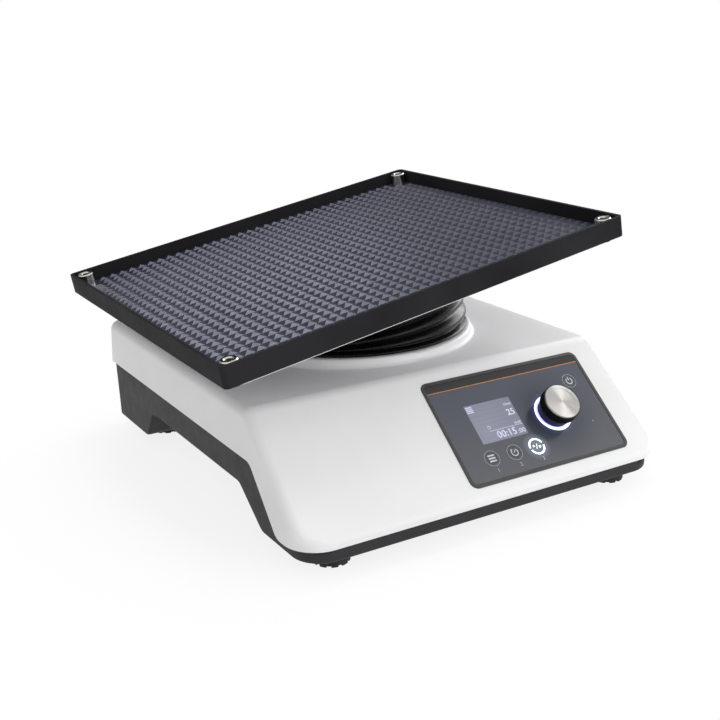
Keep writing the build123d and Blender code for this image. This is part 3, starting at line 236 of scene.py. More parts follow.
def grey_abs():
    """Charcoal ABS base pan: coarser mould grain than the housing, so it looks duller."""
    dull = {"Specular_IOR_Level": 0.25}
    return moulded("charcoal_abs_grained", "#272729", "#2c2c2e", 0.55, 0.9 * mm, 0.03 * mm, **dull)


def frame_polycarbonate():
    """Charcoal polycarbonate frame of the panel: finer grained and a little glossier than the pan."""
    return moulded("pc_frame_charcoal", "#242223", "#282627", 0.4, 0.5 * mm, 0.01 * mm, IOR=1.58)


def knob_abs():
    """Black ABS of the knob: satin and so deep a black that its cap stands out."""
    dull = {"Specular_IOR_Level": 0.15}
    return moulded("abs_black_satin", "#050507", "#09090b", 0.45, 0.4 * mm, 0.01 * mm, **dull)


def inlet_polyamide():
    """Black polyamide of the inlet and fuse drawer: slightly grey, with a visible mould grain."""
    return moulded("pa_black_moulded", "#151516", "#1c1c1d", 0.45, 0.5 * mm, 0.02 * mm, IOR=1.53)


def switch_pbt():
    """Black polyester of the rocker: glossier than its surround, so a highlight shows its bend."""
    return moulded("pbt_black_gloss", "#0b0b0c", "#111112", 0.22, 0.8 * mm, 0.004 * mm, IOR=1.55)


def epdm_rubber():
    """Black EPDM of the bellows: smooth moulded rubber, whose ribs catch narrow, soft highlights."""
    material, tree, shader = new_material("epdm_rubber_moulded", Specular_IOR_Level=0.2)
    tone(tree, shader, 14 * mm, "#09090a", "#101012")
    wear(tree, shader, 6 * mm, 0.24, 0.34)
    grain(tree, shader, 1.2 * mm, 0.006 * mm)
    return material


def foot_rubber():
    """Black thermoplastic rubber feet: matt and coarse grained."""
    return moulded("tpe_rubber_feet", "#0e0e0f", "#19191a", 0.7, 0.7 * mm, 0.04 * mm)


def mat_rubber(finishes):
    """Slate rubber mat: pressed under polished plates, so its small facets catch the overhead lamp."""
    sheen = colour("#d3d6f2")
    material, tree, shader = new_material("natural_rubber_pressed", IOR=1.52, Specular_Tint=sheen)
    tone(tree, shader, 25 * mm, finishes.mat_low, finishes.mat)
    wear(tree, shader, 5 * mm, 0.28, 0.38)
    grain(tree, shader, 0.8 * mm, 0.012 * mm)
    return material


def powder_coat():
    """Black powder coat on the tray: dull satin over fine orange peel, so that its edges stay dark."""
    material, tree, shader = new_material("powder_coat_black", Specular_IOR_Level=0.03)
    tone(tree, shader, 80 * mm, "#222224", "#2b2b2d")
    wear(tree, shader, 30 * mm, 0.5, 0.6)
    grain(tree, shader, 1.4 * mm, 0.012 * mm, 1.0)
    return material


def ink(name, low, high=None, roughness=0.4):
    """Screen printed ceramic ink: matt against the glass, a hair thick; one shade makes it even."""
    material, tree, shader = new_material(name, Base_Color=colour(low))
    spread = 0.05
    if high:
        tone(tree, shader, 2 * mm, low, high)
    wear(tree, shader, 1 * mm, roughness - spread, roughness + spread)
    return material


# What is lit
def glowing(name, low, high, strength, base="#e9ebf4"):
    """Lit plastic or ink: it gives off an even, faintly clouded light."""
    body = colour(base)
    material, tree, shader = new_material(name, Roughness=0.3, Base_Color=body, Emission_Strength=strength)
    cloud = drift(tree, 4 * mm, 2.0, 0.3, colour(low), colour(high))
    tree.links.new(cloud, shader.inputs["Emission Color"])
    return material


def lit_edge():
    """Acrylic ring lit from below: white along its outer edge, violet blue where it dips to the knob."""
    body = colour("#e9ebf4")
    material, tree, shader = new_material(
        "acrylic_lit_edge", Roughness=0.3, Base_Color=body, Emission_Strength=1.1
    )
    # The fade starts just inside the ring, so that its inner edge already shines a little
    stops = [(ring_inner - 1.1 * mm, colour("#2a2599")), (ring_outer, colour("#f4f4ff"))]
    glow = shaded_from(tree, local_points(tree, panel_frame), knob_spot, stops)
    tree.links.new(glow, shader.inputs["Emission Color"])
    return material


def knob_flare_painted_glow():
    """Black ABS of the knob's flare, with a painted navy glow that stands for the ring's light on it and
    fades upwards.
    """
    material, tree, shader = new_material(
        "abs_black_painted_ring_glow", Roughness=0.5, Specular_IOR_Level=0.05, Emission_Strength=0.8
    )
    points = local_points(tree, panel_frame)
    height = add_node(tree, "ShaderNodeSeparateXYZ", {"Vector": points}).outputs["Z"]
    # Painted light from the ring: navy at the flare's foot, fading to near black 8 mm up
    stops = [(0.0, colour("#211d68")), (8.0 * mm, colour("#020208"))]
    glow = add_node(tree, "ShaderNodeValToRGB", {"Fac": height}, stops).outputs["Color"]
    tree.links.new(glow, shader.inputs["Emission Color"])
    tone(tree, shader, 3 * mm, "#040406", "#08080b")
    return material


def printed_glass(finishes):
    """Panel glass, printed slate behind: deep and even, navy round the knob, haloed by ring and key."""
    material, tree, shader = new_material("glass_printed_behind", Roughness=0.16, Emission_Strength=1.0)
    points = local_points(tree, panel_frame)
    black = grey(0.0)

    # Slate that turns bluer up the slope, with a slow cloud in it
    up_slope = add_node(tree, "ShaderNodeSeparateXYZ", {"Vector": points}).outputs["Y"]
    sockets = {"Value": up_slope, "From Min": -panel_half_height, "From Max": accent_up}
    fade = add_node(tree, "ShaderNodeMapRange", sockets).outputs["Result"]
    sockets = {"Vector": points, "Scale": 1 / (70 * mm), "Detail": 0.0}
    cloud = add_node(tree, "ShaderNodeTexNoise", sockets).outputs["Fac"]
    cloud_share = 0.2
    sockets = {0: cloud, 1: cloud_share, 2: fade}
    clouded = add_node(tree, "ShaderNodeMath", sockets, operation="MULTIPLY_ADD").outputs[0]
    stops = [(0.1, colour(finishes.glass)), (1.0, colour(finishes.glass_high))]
    slate = add_node(tree, "ShaderNodeValToRGB", {"Fac": clouded}, stops).outputs["Color"]

    # Navy round the knob, and a plain dark strip above the line
    navy = shaded_from(tree, points, knob_spot, [(ring_outer, grey(0.75)), (42 * mm, black)])
    sockets = {"Factor": navy, "A": slate, "B": colour("#353b4b")}
    ground = add_node(tree, "ShaderNodeMix", sockets, data_type="RGBA").outputs["Result"]
    sockets = {0: up_slope, 1: accent_up}
    in_strip = add_node(tree, "ShaderNodeMath", sockets, operation="GREATER_THAN").outputs[0]
    sockets = {"Factor": in_strip, "A": ground, "B": colour("#1f1d1e")}
    printed = add_node(tree, "ShaderNodeMix", sockets, data_type="RGBA").outputs["Result"]
    tree.links.new(printed, shader.inputs["Base Color"])

    # Light that spreads in the glass
    stops = [(ring_outer, colour("#2a2d58")), (ring_outer + 3.9 * mm, black)]
    ring_halo = shaded_from(tree, points, knob_spot, stops)
    key_halo = shaded_from(tree, points, start_key, [(6.5 * mm, colour("#56606e")), (10.5 * mm, black)])
    sockets = {"Factor": 1.0, "A": ring_halo, "B": key_halo}
    halo = add_node(tree, "ShaderNodeMix", sockets, data_type="RGBA", blend_type="ADD").outputs["Result"]
    tree.links.new(halo, shader.inputs["Emission Color"])
    return material


def display_face():
    """Display: grey-violet backlight, brighter towards its lower left, over faint rows of cells."""
    material, tree, shader = new_material(
        "lcd_backlit", Roughness=0.2, Base_Color=colour("#3c3e48"), Emission_Strength=0.72
    )
    points = local_points(tree, panel_frame)
    low, high = local_box("display", panel_frame)
    bright_spot = (low.xy * 3 + high.xy) / 4
    glow = shaded_from(tree, points, bright_spot, [(0.0, colour("#9698aa")), (45 * mm, colour("#7e8092"))])
    # Cell rows are drawn 3.77 mm apart, far coarser than the real ones, so that they show
    row_step, row_darkness = 3.77 * mm, 0.06
    # The wave node's own phase grows by 20 radians per unit
    wave_radians = 20
    sockets = {"Vector": points, "Scale": 2 * pi / (wave_radians * row_step)}
    rows = add_node(tree, "ShaderNodeTexWave", sockets, bands_direction="Y").outputs["Fac"]
    sockets = {0: rows, 1: row_darkness}
    darkening = add_node(tree, "ShaderNodeMath", sockets, operation="MULTIPLY").outputs[0]
    sockets = {"Factor": darkening, "A": glow, "B": grey(0.0)}
    shaded = add_node(tree, "ShaderNodeMix", sockets, data_type="RGBA").outputs["Result"]
    tree.links.new(shaded, shader.inputs["Emission Color"])
    return material


# Metals
def metal(name, code, smooth, rough, grain_size, grain_depth):
    """Bare or plated metal: coloured reflection, roughness that drifts, fine grain."""
    material, tree, shader = new_material(name, Metallic=1.0, Base_Color=colour(code))
    wear(tree, shader, 4 * mm, smooth, rough)
    grain(tree, shader, grain_size, grain_depth)
    return material


def nickel_plate():
    """Bright nickel plate on the posts: a hard mirror that is faintly uneven."""
    return metal("nickel_plate_turned", "#d2cfc8", 0.14, 0.2, 0.35 * mm, 0.004 * mm)


def bore_painted_shade():
    """Steel in the posts' holes, painted almost black as shade for the deep holes, so that the threads show
    by their edges.
    """
    return metal("steel_bore_painted_shade", "#121214", 0.35, 0.5, 0.4 * mm, 0.01 * mm)


def tool_marks(tree, shader, marks, smooth, rough, depth):
    """Marks of a tool, which change the roughness between two values and stand out by depth metres."""
    stops = [(0.0, grey(smooth)), (1.0, grey(rough))]
    roughness = add_node(tree, "ShaderNodeValToRGB", {"Fac": marks}, stops).outputs["Color"]
    tree.links.new(roughness, shader.inputs["Roughness"])
    sockets = {"Height": marks, "Distance": depth, "Strength": 1.0}
    tree.links.new(add_node(tree, "ShaderNodeBump", sockets).outputs["Normal"], shader.inputs["Normal"])


def milled_aluminium():
    """Support plate: aluminium sheet with a milled edge, streaked along the plate."""
    material, tree, shader = new_material("aluminium_milled", Metallic=1.0, Base_Color=colour("#dcdcde"))
    points = add_node(tree, "ShaderNodeTexCoord").outputs["Object"]
    streak_length, streak_height = 16 * mm, 0.4 * mm
    stretch = (1 / streak_length, 1 / streak_length, 1 / streak_height)
    sockets = {"Vector": points, "Scale": stretch}
    streaks = add_node(tree, "ShaderNodeMapping", sockets).outputs["Vector"]
    sockets = {"Vector": streaks, "Scale": 1.0, "Detail": 3.0}
    marks = add_node(tree, "ShaderNodeTexNoise", sockets).outputs["Fac"]
    tool_marks(tree, shader, marks, 0.22, 0.4, 0.006 * mm)
    return material


def spun_aluminium():
    """Knob cap: aluminium turned on a lathe, its rings drawn coarser than real so that they show."""
    ringed = {"Anisotropic": 0.95, "Anisotropic_Rotation": 0.25}
    body = colour("#bfbdb9")
    material, tree, shader = new_material("aluminium_spun", Metallic=1.0, Base_Color=body, **ringed)
    points = add_node(tree, "ShaderNodeTexCoord").outputs["Object"]
    sockets = {0: points, 1: Vector(joints["knob_turn"]["pos_m"])}
    offset = add_node(tree, "ShaderNodeVectorMath", sockets, operation="SUBTRACT").outputs[0]
    sockets = {0: panel_up, 1: offset}
    around = add_node(tree, "ShaderNodeVectorMath", sockets, operation="CROSS_PRODUCT").outputs[0]
    radius = add_node(tree, "ShaderNodeVectorMath", {0: around}, operation="LENGTH").outputs["Value"]
    sockets = {"W": radius, "Scale": 1 / (0.25 * mm), "Detail": 3.0}
    rings = add_node(tree, "ShaderNodeTexNoise", sockets, noise_dimensions="1D").outputs["Fac"]
    tool_marks(tree, shader, rings, 0.3, 0.44, 0.008 * mm)
    unit = add_node(tree, "ShaderNodeVectorMath", {0: around}, operation="NORMALIZE").outputs[0]
    tree.links.new(unit, shader.inputs["Tangent"])
    return material


# Mesh helpers
merge_distance = 0.002 * mm
flat_within = radians(0.4)
smooth_below = radians(28)
soften_above = radians(35)


def add_object(name, data):
    """A new object in the scene for a mesh, figures, a lamp or a camera."""
    made = bpy.data.objects.new(name, data)
    bpy.context.scene.collection.objects.link(made)
    return made


def add_mesh(name, bm, materials):
    """A new object in the scene from a bmesh, which is used up."""
    mesh = bpy.data.meshes.new(name)
    bm.to_mesh(mesh)
    bm.free()
    for material in materials:
        mesh.materials.append(material)
    return add_object(name, mesh)


def new_piece(name, bm, materials, body, replaced=(), smooth_angle=None):
    """Makes a piece from a bmesh, and lets it ride on its body."""
    piece = add_mesh(name, bm, materials)
    if smooth_angle is not None:
        piece.data.shade_smooth()
        piece.data.set_sharp_from_angle(angle=smooth_angle)
    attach(piece, body)
    if replaced:
        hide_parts(*replaced)
    return piece


def slot_of(node):
    """The material slot that the record gives a node."""
    return next(part["material_slot"] for part in frame["record"]["subparts"] if part["node"] == node)


def repaint(nodes, material):
    """Gives CAD nodes their finish and leaves their meshes alone."""
    for node in nodes.split():
        mesh = frame["nodes"][node].data
        mesh.materials.clear()
        mesh.materials.append(material)


def finished_copy(node, material, edge=0.0, other=None, is_other=None):
    """A joined copy of a CAD node: smooth, softened where asked, with another finish where is_other says."""
    bm = bmesh.new()
    bm.from_mesh(frame["nodes"][node].data)
    bmesh.ops.remove_doubles(bm, verts=bm.verts, dist=merge_distance)
    bmesh.ops.dissolve_limit(bm, angle_limit=flat_within, verts=bm.verts, edges=bm.edges)
    if is_other:
        for face in bm.faces:
            face.material_index = int(is_other(face))
    materials = [material, other] if other else [material]
    body = frame["nodes"][node]["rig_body"]
    piece = new_piece(node + "_finish", bm, materials, body, (node,), smooth_below)
    if edge:
        bevel = piece.modifiers.new("soft_edges", "BEVEL")
        bevel.width = edge
        bevel.segments = 2
        bevel.limit_method = "ANGLE"
        bevel.angle_limit = soften_above
    shading = piece.modifiers.new("flat_faces_stay_flat", "WEIGHTED_NORMAL")
    shading.keep_sharp = True
    return piece


def ring_loop(bm, matrix, radius, segments):
    """Adds a circle and returns its edges."""
    made = bmesh.ops.create_circle(bm, segments=segments, radius=radius, matrix=matrix)
    return list({edge for vert in made["verts"] for edge in vert.link_edges})


def bridged(bm, loops, closed=False):
    """Joins circles into a skin, one to the next."""
    pairs = list(zip(loops, loops[1:]))
    if closed:
        pairs.append((loops[-1], loops[0]))
    for first, second in pairs:
        bmesh.ops.bridge_loops(bm, edges=first + second)
    bmesh.ops.recalc_face_normals(bm, faces=bm.faces)


# Flat shapes for prints, in the panel's plane
ink_thickness = 0.03 * mm
ink_gap = 0.005 * mm


def at(spot, angle=0.0):
    """The matrix of a flat shape at a spot, turned by an angle in degrees."""
    return Matrix.Translation((*spot, 0)) @ Matrix.Rotation(radians(angle), 4, "Z")


def bar(bm, spot, width, height, angle=0.0):
    """A straight bar."""
    matrix = at(spot, angle) @ Matrix.Diagonal((width, height, 1, 1))
    bmesh.ops.create_grid(bm, x_segments=1, y_segments=1, size=0.5, matrix=matrix)


def polygon(bm, spot, radius, corners, angle=0.0):
    """A filled disc, or a triangle where it has three corners."""
    bmesh.ops.create_circle(bm, cap_ends=True, segments=corners, radius=radius, matrix=at(spot, angle))


def arc(bm, spot, radius, width, start=0.0, turn=360.0):
    """A band along part of a circle, or all round; its start and turn are in degrees."""
    direction = Vector((cos(radians(start)), sin(radians(start))))
    ends = [bm.verts.new((*(spot + direction * r), 0)) for r in (radius - width / 2, radius + width / 2)]
    geometry = ends + [bm.edges.new(ends)]
    whole = turn == 360.0
    steps = 48 if whole else 30
    bmesh.ops.spin(
        bm, geom=geometry, cent=(*spot, 0), axis=(0, 0, 1), angle=radians(turn), steps=steps, use_merge=whole
    )


def words(bm, figures, spot, size, align="CENTER"):
    """Adds figures as flat faces, standing on a spot."""
    boldness = 0.02
    curve = bpy.data.curves.new("figures", "FONT")
    curve.body = figures
    curve.size = size
    curve.align_x = align
    curve.resolution_u = 3
    curve.offset = size * boldness
    holder = add_object("figures", curve)
    bpy.context.view_layer.update()
    mesh = bpy.data.meshes.new_from_object(holder)
    mesh.transform(at(spot))
    bm.from_mesh(mesh)
    bpy.data.objects.remove(holder)
    bpy.data.curves.remove(curve)
    bpy.data.meshes.remove(mesh)


def print_piece(name, bm, material, place, body="base"):
    """Lifts flat shapes into a thin layer of ink and lays it on its place."""
    for face in bm.faces:
        face.normal_update()
    turned = [face for face in bm.faces if face.normal.z < 0]
    bmesh.ops.reverse_faces(bm, faces=turned)
    made = bmesh.ops.extrude_face_region(bm, geom=list(bm.faces), use_keep_orig=True)
    lifted = [item for item in made["geom"] if isinstance(item, bmesh.types.BMVert)]
    bmesh.ops.translate(bm, verts=lifted, vec=(0, 0, ink_thickness))
    bmesh.ops.recalc_face_normals(bm, faces=bm.faces)
    lifted_place = place @ Matrix.Translation((0, 0, ink_gap))
    bmesh.ops.transform(bm, matrix=lifted_place, verts=bm.verts)
    return new_piece(name, bm, [material], body)


def finish_colour(name, description, code):
    """A colour that the sidebar offers."""
    return bpy.props.FloatVectorProperty(
        name=name, description=description, size=4, subtype="COLOR", default=colour(code)
    )


class ShakerFinishes(bpy.types.PropertyGroup):
    housing: finish_colour("Housing", "Colour of the white housing", "#e6e6e7")
    housing_low: finish_colour("Housing, darker", "Darker shade in the housing's slow drift", "#e3e3e4")
    glass: finish_colour("Panel glass", "Colour behind the glass", "#56575c")
    glass_high: finish_colour("Panel glass, upper end", "Bluer shade up the slope", "#484c58")
    accent: finish_colour("Accent line", "Colour of the thin line", "#c8803f")
    mat: finish_colour("Mat", "Colour of the rubber mat", "#2f313d")
    mat_low: finish_colour("Mat, darker", "Darker shade in the mat's slow drift", "#272935")


class ShakerSizes(bpy.types.PropertyGroup):
    stud_pitch: bpy.props.FloatProperty(
        name="Stud pitch", description="Distance between the mat's pyramids", default=9.2 * mm, unit="LENGTH"
    )
    stud_height: bpy.props.FloatProperty(
        name="Stud height", description="Height of the mat's pyramids", default=1.9 * mm, unit="LENGTH"
    )
    stud_gutter: bpy.props.FloatProperty(
        name="Gutter", description="Flat gap between two pyramids", default=0.6 * mm, unit="LENGTH"
    )
    thread_pitch: bpy.props.FloatProperty(
        name="Thread pitch", description="Pitch of the thread in the posts", default=0.8 * mm, unit="LENGTH"
    )


class SHAKER_OT_housing(bpy.types.Operator):
    """Finishes the white housing, the base pan and its feet"""

    bl_idname = "shaker.housing"
    bl_label = "Housing and pan"

    def execute(self, context):
        finished_copy("top_shell", white_abs(context.scene.shaker_finishes))
        finished_copy("base_pan", grey_abs())
        finished_copy("feet", foot_rubber())
        return {"FINISHED"}


class SHAKER_OT_tray(bpy.types.Operator):
    """Finishes the tray and its support plate"""

    bl_idname = "shaker.tray"
    bl_label = "Tray and plate"

    def execute(self, context):
        finished_copy("tray", powder_coat(), edge=0.3 * mm)
        finished_copy("support_plate", milled_aluminium())
        return {"FINISHED"}


# Corner posts, as the solids have them
post_radius = 6.6 * mm
thread_radius = 2.5 * mm


def post_spots():
    """The four posts' middles in the platform's frame, and the height of their tops."""
    low, high = local_box("corner_posts", platform_frame)
    inset = Vector((post_radius, post_radius, 0))
    low, high = low + inset, high - inset
    return [Vector((x, y)) for x in (low.x, high.x) for y in (low.y, high.y)], high.z


class SHAKER_OT_posts(bpy.types.Operator):
    """Finishes the corner posts and cuts the threads that show in their holes"""

    bl_idname = "shaker.posts"
    bl_label = "Corner posts"

    def execute(self, context):
        pitch = context.scene.shaker_sizes.thread_pitch
        # The holes' walls and threads take a near-black steel: painted shade for the deep holes
        bore_shade = bore_painted_shade()
        spots, top = post_spots()
        slack = 0.05 * mm

        def in_shaded_bore(face):
            centre = (platform_frame.inverted() @ face.calc_center_median()).xy
            return min((centre - spot).length for spot in spots) < thread_radius + slack

        finished_copy("corner_posts", nickel_plate(), 0.0, bore_shade, in_shaded_bore)
        bm = bmesh.new()
        turns, wall, crest, mouth = 9, 0.1 * mm, 0.3 * mm, 0.7 * mm
        for spot in spots:
            rows = [(thread_radius + wall, turns * pitch), (thread_radius + wall, 0)]
            for i in range(turns):
                rows += [(thread_radius, i * pitch), (thread_radius - crest, (i + 0.5) * pitch)]
            rows.append((thread_radius, turns * pitch))
            loops = []
            for radius, drop in rows:
                place = platform_frame @ Matrix.Translation((*spot, top - mouth - drop))
                loops.append(ring_loop(bm, place, radius, 32))
            bridged(bm, loops, closed=True)
        # The threads carry the same painted shade as the holes
        new_piece("post_threads", bm, [bore_shade], "platform", (), radians(30))
        return {"FINISHED"}


class SHAKER_OT_mat(bpy.types.Operator):
    """Models the rubber mat with its rows of small pyramids"""

    bl_idname = "shaker.mat"
    bl_label = "Rubber mat"

    def execute(self, context):
        sizes = context.scene.shaker_sizes
        low, high = local_box("rubber_mat", platform_frame)
        middle, reach = (low + high) / 2, high - low
        base_height = high.z - sizes.stud_height
        columns, rows = [round(length / sizes.stud_pitch) for length in reach.xy]
        stretch = Matrix.Diagonal((reach.x, reach.y, 1, 1))
        place = Matrix.Translation((middle.x, middle.y, base_height)) @ stretch
        bm = bmesh.new()
        bmesh.ops.create_grid(bm, x_segments=columns, y_segments=rows, size=0.5, matrix=place)
        cells = list(bm.faces)
        bmesh.ops.inset_individual(bm, faces=cells, thickness=sizes.stud_gutter / 2, use_even_offset=True)
        spots, _ = post_spots()
        kept_clear = post_radius + 0.45 * sizes.stud_pitch
        studs = []
        for cell in cells:
            centre = cell.calc_center_median().xy
            if min((centre - spot).length for spot in spots) > kept_clear:
                studs.append(cell)
        bmesh.ops.poke(bm, faces=studs, offset=sizes.stud_height, center_mode="MEAN")
        rim = [edge for edge in bm.edges if edge.is_boundary]
        made = bmesh.ops.extrude_edge_only(bm, edges=rim)
        walls = [item for item in made["geom"] if isinstance(item, bmesh.types.BMVert)]
        bmesh.ops.translate(bm, verts=walls, vec=(0, 0, low.z - base_height))
        floor_edges = [edge for edge in bm.edges if edge.is_boundary]
        bmesh.ops.contextual_create(bm, geom=floor_edges)
        bmesh.ops.recalc_face_normals(bm, faces=bm.faces)
        bmesh.ops.transform(bm, matrix=platform_frame, verts=bm.verts)
        rubber = mat_rubber(context.scene.shaker_finishes)
        new_piece("rubber_mat_studs", bm, [rubber], "platform", ("rubber_mat",))
        return {"FINISHED"}


class SHAKER_OT_bellows(bpy.types.Operator):
    """Models the round ribs of the rubber bellows"""

    bl_idname = "shaker.bellows"
    bl_label = "Bellows"

    def execute(self, context):
        wall = 2.4 * mm
        bm = bmesh.new()
        loops = []
        for height, lean, shift, radius in bellows_rows(0.0) + bellows_rows(wall)[::-1]:
            turn = Matrix.Rotation(-lean, 4, "Y")
            place = Matrix.Translation((pivot.x + shift, pivot.y, height)) @ turn
            loops.append(ring_loop(bm, place, radius, 96))
        bridged(bm, loops, closed=True)
        rubber, slot = epdm_rubber(), slot_of("bellows")
        piece = new_piece("bellows_ribs", bm, [rubber], "rotor", ("bellows",), radians(60))
        rounding = piece.modifiers.new("round_ribs", "SUBSURF")
        rounding.levels = 1
        rounding.render_levels = 1
        return {"FINISHED"}


def bellows_rows(wall):
    """Circles up the bellows, as the solid has them, with rounded ribs: height, lean, shift and radius."""
    ribs = 4
    crest, valley, lip, skirt = 103.8 * mm, 97.7 * mm, 2.4 * mm, 5.5 * mm
    seat_gap, lip_gap, neck, neck_height = 0.3 * mm, 1.6 * mm, 49.4 * mm, 6.0 * mm
    low_side_bend, high_side_bend = 2.3, 0.15
    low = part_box("top_shell")[1].z + seat_gap
    start = low + lip + lip_gap
    neck_low = neck - neck_height
    rise = pivot.z + neck_low * cos(tilt) - start
    half = (crest + valley) / 2
    if wall:
        rows = [(low - skirt, 0, 0, valley), (low + lip, 0, 0, valley)]
    else:
        # The foot's lip, which lies round-edged on the collar
        rows = [
            (low - skirt, 0, 0, valley),
            (low - 0.1 * mm, 0, 0, valley),
            (low, 0, 0, valley + 0.4 * mm),
            (low, 0, 0, crest - 1.2 * mm),
            (low + 0.4 * mm, 0, 0, crest - 0.6 * mm),
            (low + 1.9 * mm, 0, 0, crest),
            (low + lip, 0, 0, crest - 0.5 * mm),
        ]
    # One rib: how far up it, and how far it swells from valley to crest
    profile = [(0.0, 0.0), (0.09, 0.12), (0.3, 0.84), (0.42, 1.0), (0.58, 1.0), (0.7, 0.84), (0.91, 0.12)]
    for rib in range(ribs):
        for part, swell in profile:
            share = (rib + part) / ribs
            low_side = (rise - half * sin(tilt)) * share**low_side_bend
            high_side = (rise + half * sin(tilt)) * (share + high_side_bend * share * (1 - share))
            lean = asin((high_side - low_side) / (2 * half))
            height = start + (high_side + low_side) / 2
            rows.append((height, lean, -neck_low * sin(tilt) * share, valley + (crest - valley) * swell))
    for along in (neck_low, neck):
        rows.append((pivot.z + along * cos(tilt), tilt, -along * sin(tilt), valley))
    return [(height, lean, shift, radius - wall) for height, lean, shift, radius in rows]


class SHAKER_OT_panel(bpy.types.Operator):
    """Finishes the control panel, its display and its light ring"""

    bl_idname = "shaker.panel"
    bl_label = "Control panel"

    def execute(self, context):
        finished_copy("panel_frame", frame_polycarbonate(), edge=0.2 * mm)
        finished_copy("panel_glass", printed_glass(context.scene.shaker_finishes), edge=0.12 * mm)
        repaint("display", display_face())
        # The ring's inner wall: the same acrylic, in deep blue where no lamp lies under it
        inside = glowing("acrylic_lit_wall", "#1c1a5e", "#2a2790", 0.6, "#20202c")
        to_panel = panel_frame.inverted()
        slack = 0.1 * mm

        def in_band(face):
            points = [to_panel @ vert.co for vert in face.verts]
            reach = max((point.xy - knob_spot).length for point in points)
            return reach > ring_inner + slack and min(point.z for point in points) > -slack

        finished_copy("light_ring", inside, 0.0, lit_edge(), in_band)
        return {"FINISHED"}


class SHAKER_OT_knob(bpy.types.Operator):
    """Finishes the knob and its metal cap"""

    bl_idname = "shaker.knob"
    bl_label = "Knob"

    def execute(self, context):
        to_panel = panel_frame.inverted()
        grip_height = 3.0 * mm
        flare_top = local_box("knob_cap", panel_frame)[0].z - grip_height

        # The flare's faces take a copy of the black ABS with the painted glow from the ring
        def gets_painted_glow(face):
            return max((to_panel @ vert.co).z for vert in face.verts) < flare_top

        finished_copy("knob_body", knob_abs(), 0.15 * mm, knob_flare_painted_glow(), gets_painted_glow)
        finished_copy("knob_cap", spun_aluminium(), edge=0.1 * mm)
        return {"FINISHED"}


class SHAKER_OT_prints(bpy.types.Operator):
    """Prints the line, the keys and their numbers on the glass"""

    bl_idname = "shaker.prints"
    bl_label = "Prints on the panel"

    def execute(self, context):
        above = panel_frame @ Matrix.Translation((0, 0, ink_thickness))

        line = bmesh.new()
        line_width, line_margin = 0.6 * mm, 2.8 * mm
        bar(line, (0, accent_up), 2 * (panel_half_width - line_margin), line_width)
        accent = context.scene.shaker_finishes.accent
        # Orange ink: a thin, warm line right across the dark glass
        print_piece("accent_line", line, ink("ink_orange", accent), panel_frame)

        grounds = bmesh.new()
        for key in (menu_key, timer_key, standby_key):
            polygon(grounds, key, 5.2 * mm, 48)
        # Deep slate: it sets the unlit keys off from the glass
        deep = ink("ink_slate_deep", "#3c3f47", "#42454d", 0.3)
        print_piece("key_grounds", grounds, deep, panel_frame)

        rings = bmesh.new()
        arc(rings, menu_key, 6.3 * mm, 0.3 * mm)
        arc(rings, timer_key, 6.3 * mm, 0.3 * mm)
        arc(rings, standby_key, 6.0 * mm, 0.35 * mm)
        polygon(rings, sensor_spot, 0.5 * mm, 16)
        number_spot, number_size = Vector((0.3, -11.8)) * mm, 4.4 * mm
        for number, key in (("1", menu_key), ("2", timer_key), ("3", start_key)):
            words(rings, number, key + number_spot, number_size)
        # Silver grey ink: dimmer than the marks, so that rings and numbers step back
        print_piece("key_rings", rings, ink("ink_silver_grey", "#9da0a8", "#abaeb6"), above)

        marks = bmesh.new()
        # Three bars
        bar_pitch = 2.3 * mm
        for i in (-1, 0, 1):
            bar(marks, menu_key + Vector((0, i * bar_pitch)), 6.0 * mm, 1.15 * mm)
        # An arrow that turns round the hands of a clock
        arc(marks, timer_key, 2.8 * mm, 0.75 * mm, 130, 290)
        polygon(marks, timer_key + Vector((-1.9, 2.3)) * mm, 1.2 * mm, 3, 35)
        bar(marks, timer_key + Vector((0.4, 0.9)) * mm, 0.6 * mm, 1.9 * mm)
        bar(marks, timer_key + Vector((0.0, 0.2)) * mm, 1.4 * mm, 0.6 * mm)
        # An open ring with a stroke in its gap
        arc(marks, standby_key, 2.7 * mm, 0.8 * mm, 125, 290)
        bar(marks, standby_key + Vector((0, 2.1)) * mm, 0.85 * mm, 3.2 * mm)
        # Pale grey ink: the brightest print on the unlit keys
        print_piece("key_marks", marks, ink("ink_pale_grey", "#c3c5cc", "#cfd1d7"), above)

        # Two arcs round a triangle, a stroke and a square
        lit = bmesh.new()
        for start in (20, 198):
            arc(lit, start_key, 6.2 * mm, 1.35 * mm, start, 162)
        polygon(lit, start_key + Vector((-2.6, 0.7)) * mm, 1.2 * mm, 3)
        bar(lit, start_key, 0.4 * mm, 4.6 * mm, -25)
        bar(lit, start_key + Vector((2.6, -0.7)) * mm, 1.7 * mm, 1.7 * mm)
        # White ink lit from behind: the one key that shines
        shining = glowing("ink_lit_white", "#e6f1fb", "#f3fbff", 1.5)
        print_piece("lit_key", lit, shining, above)
        return {"FINISHED"}


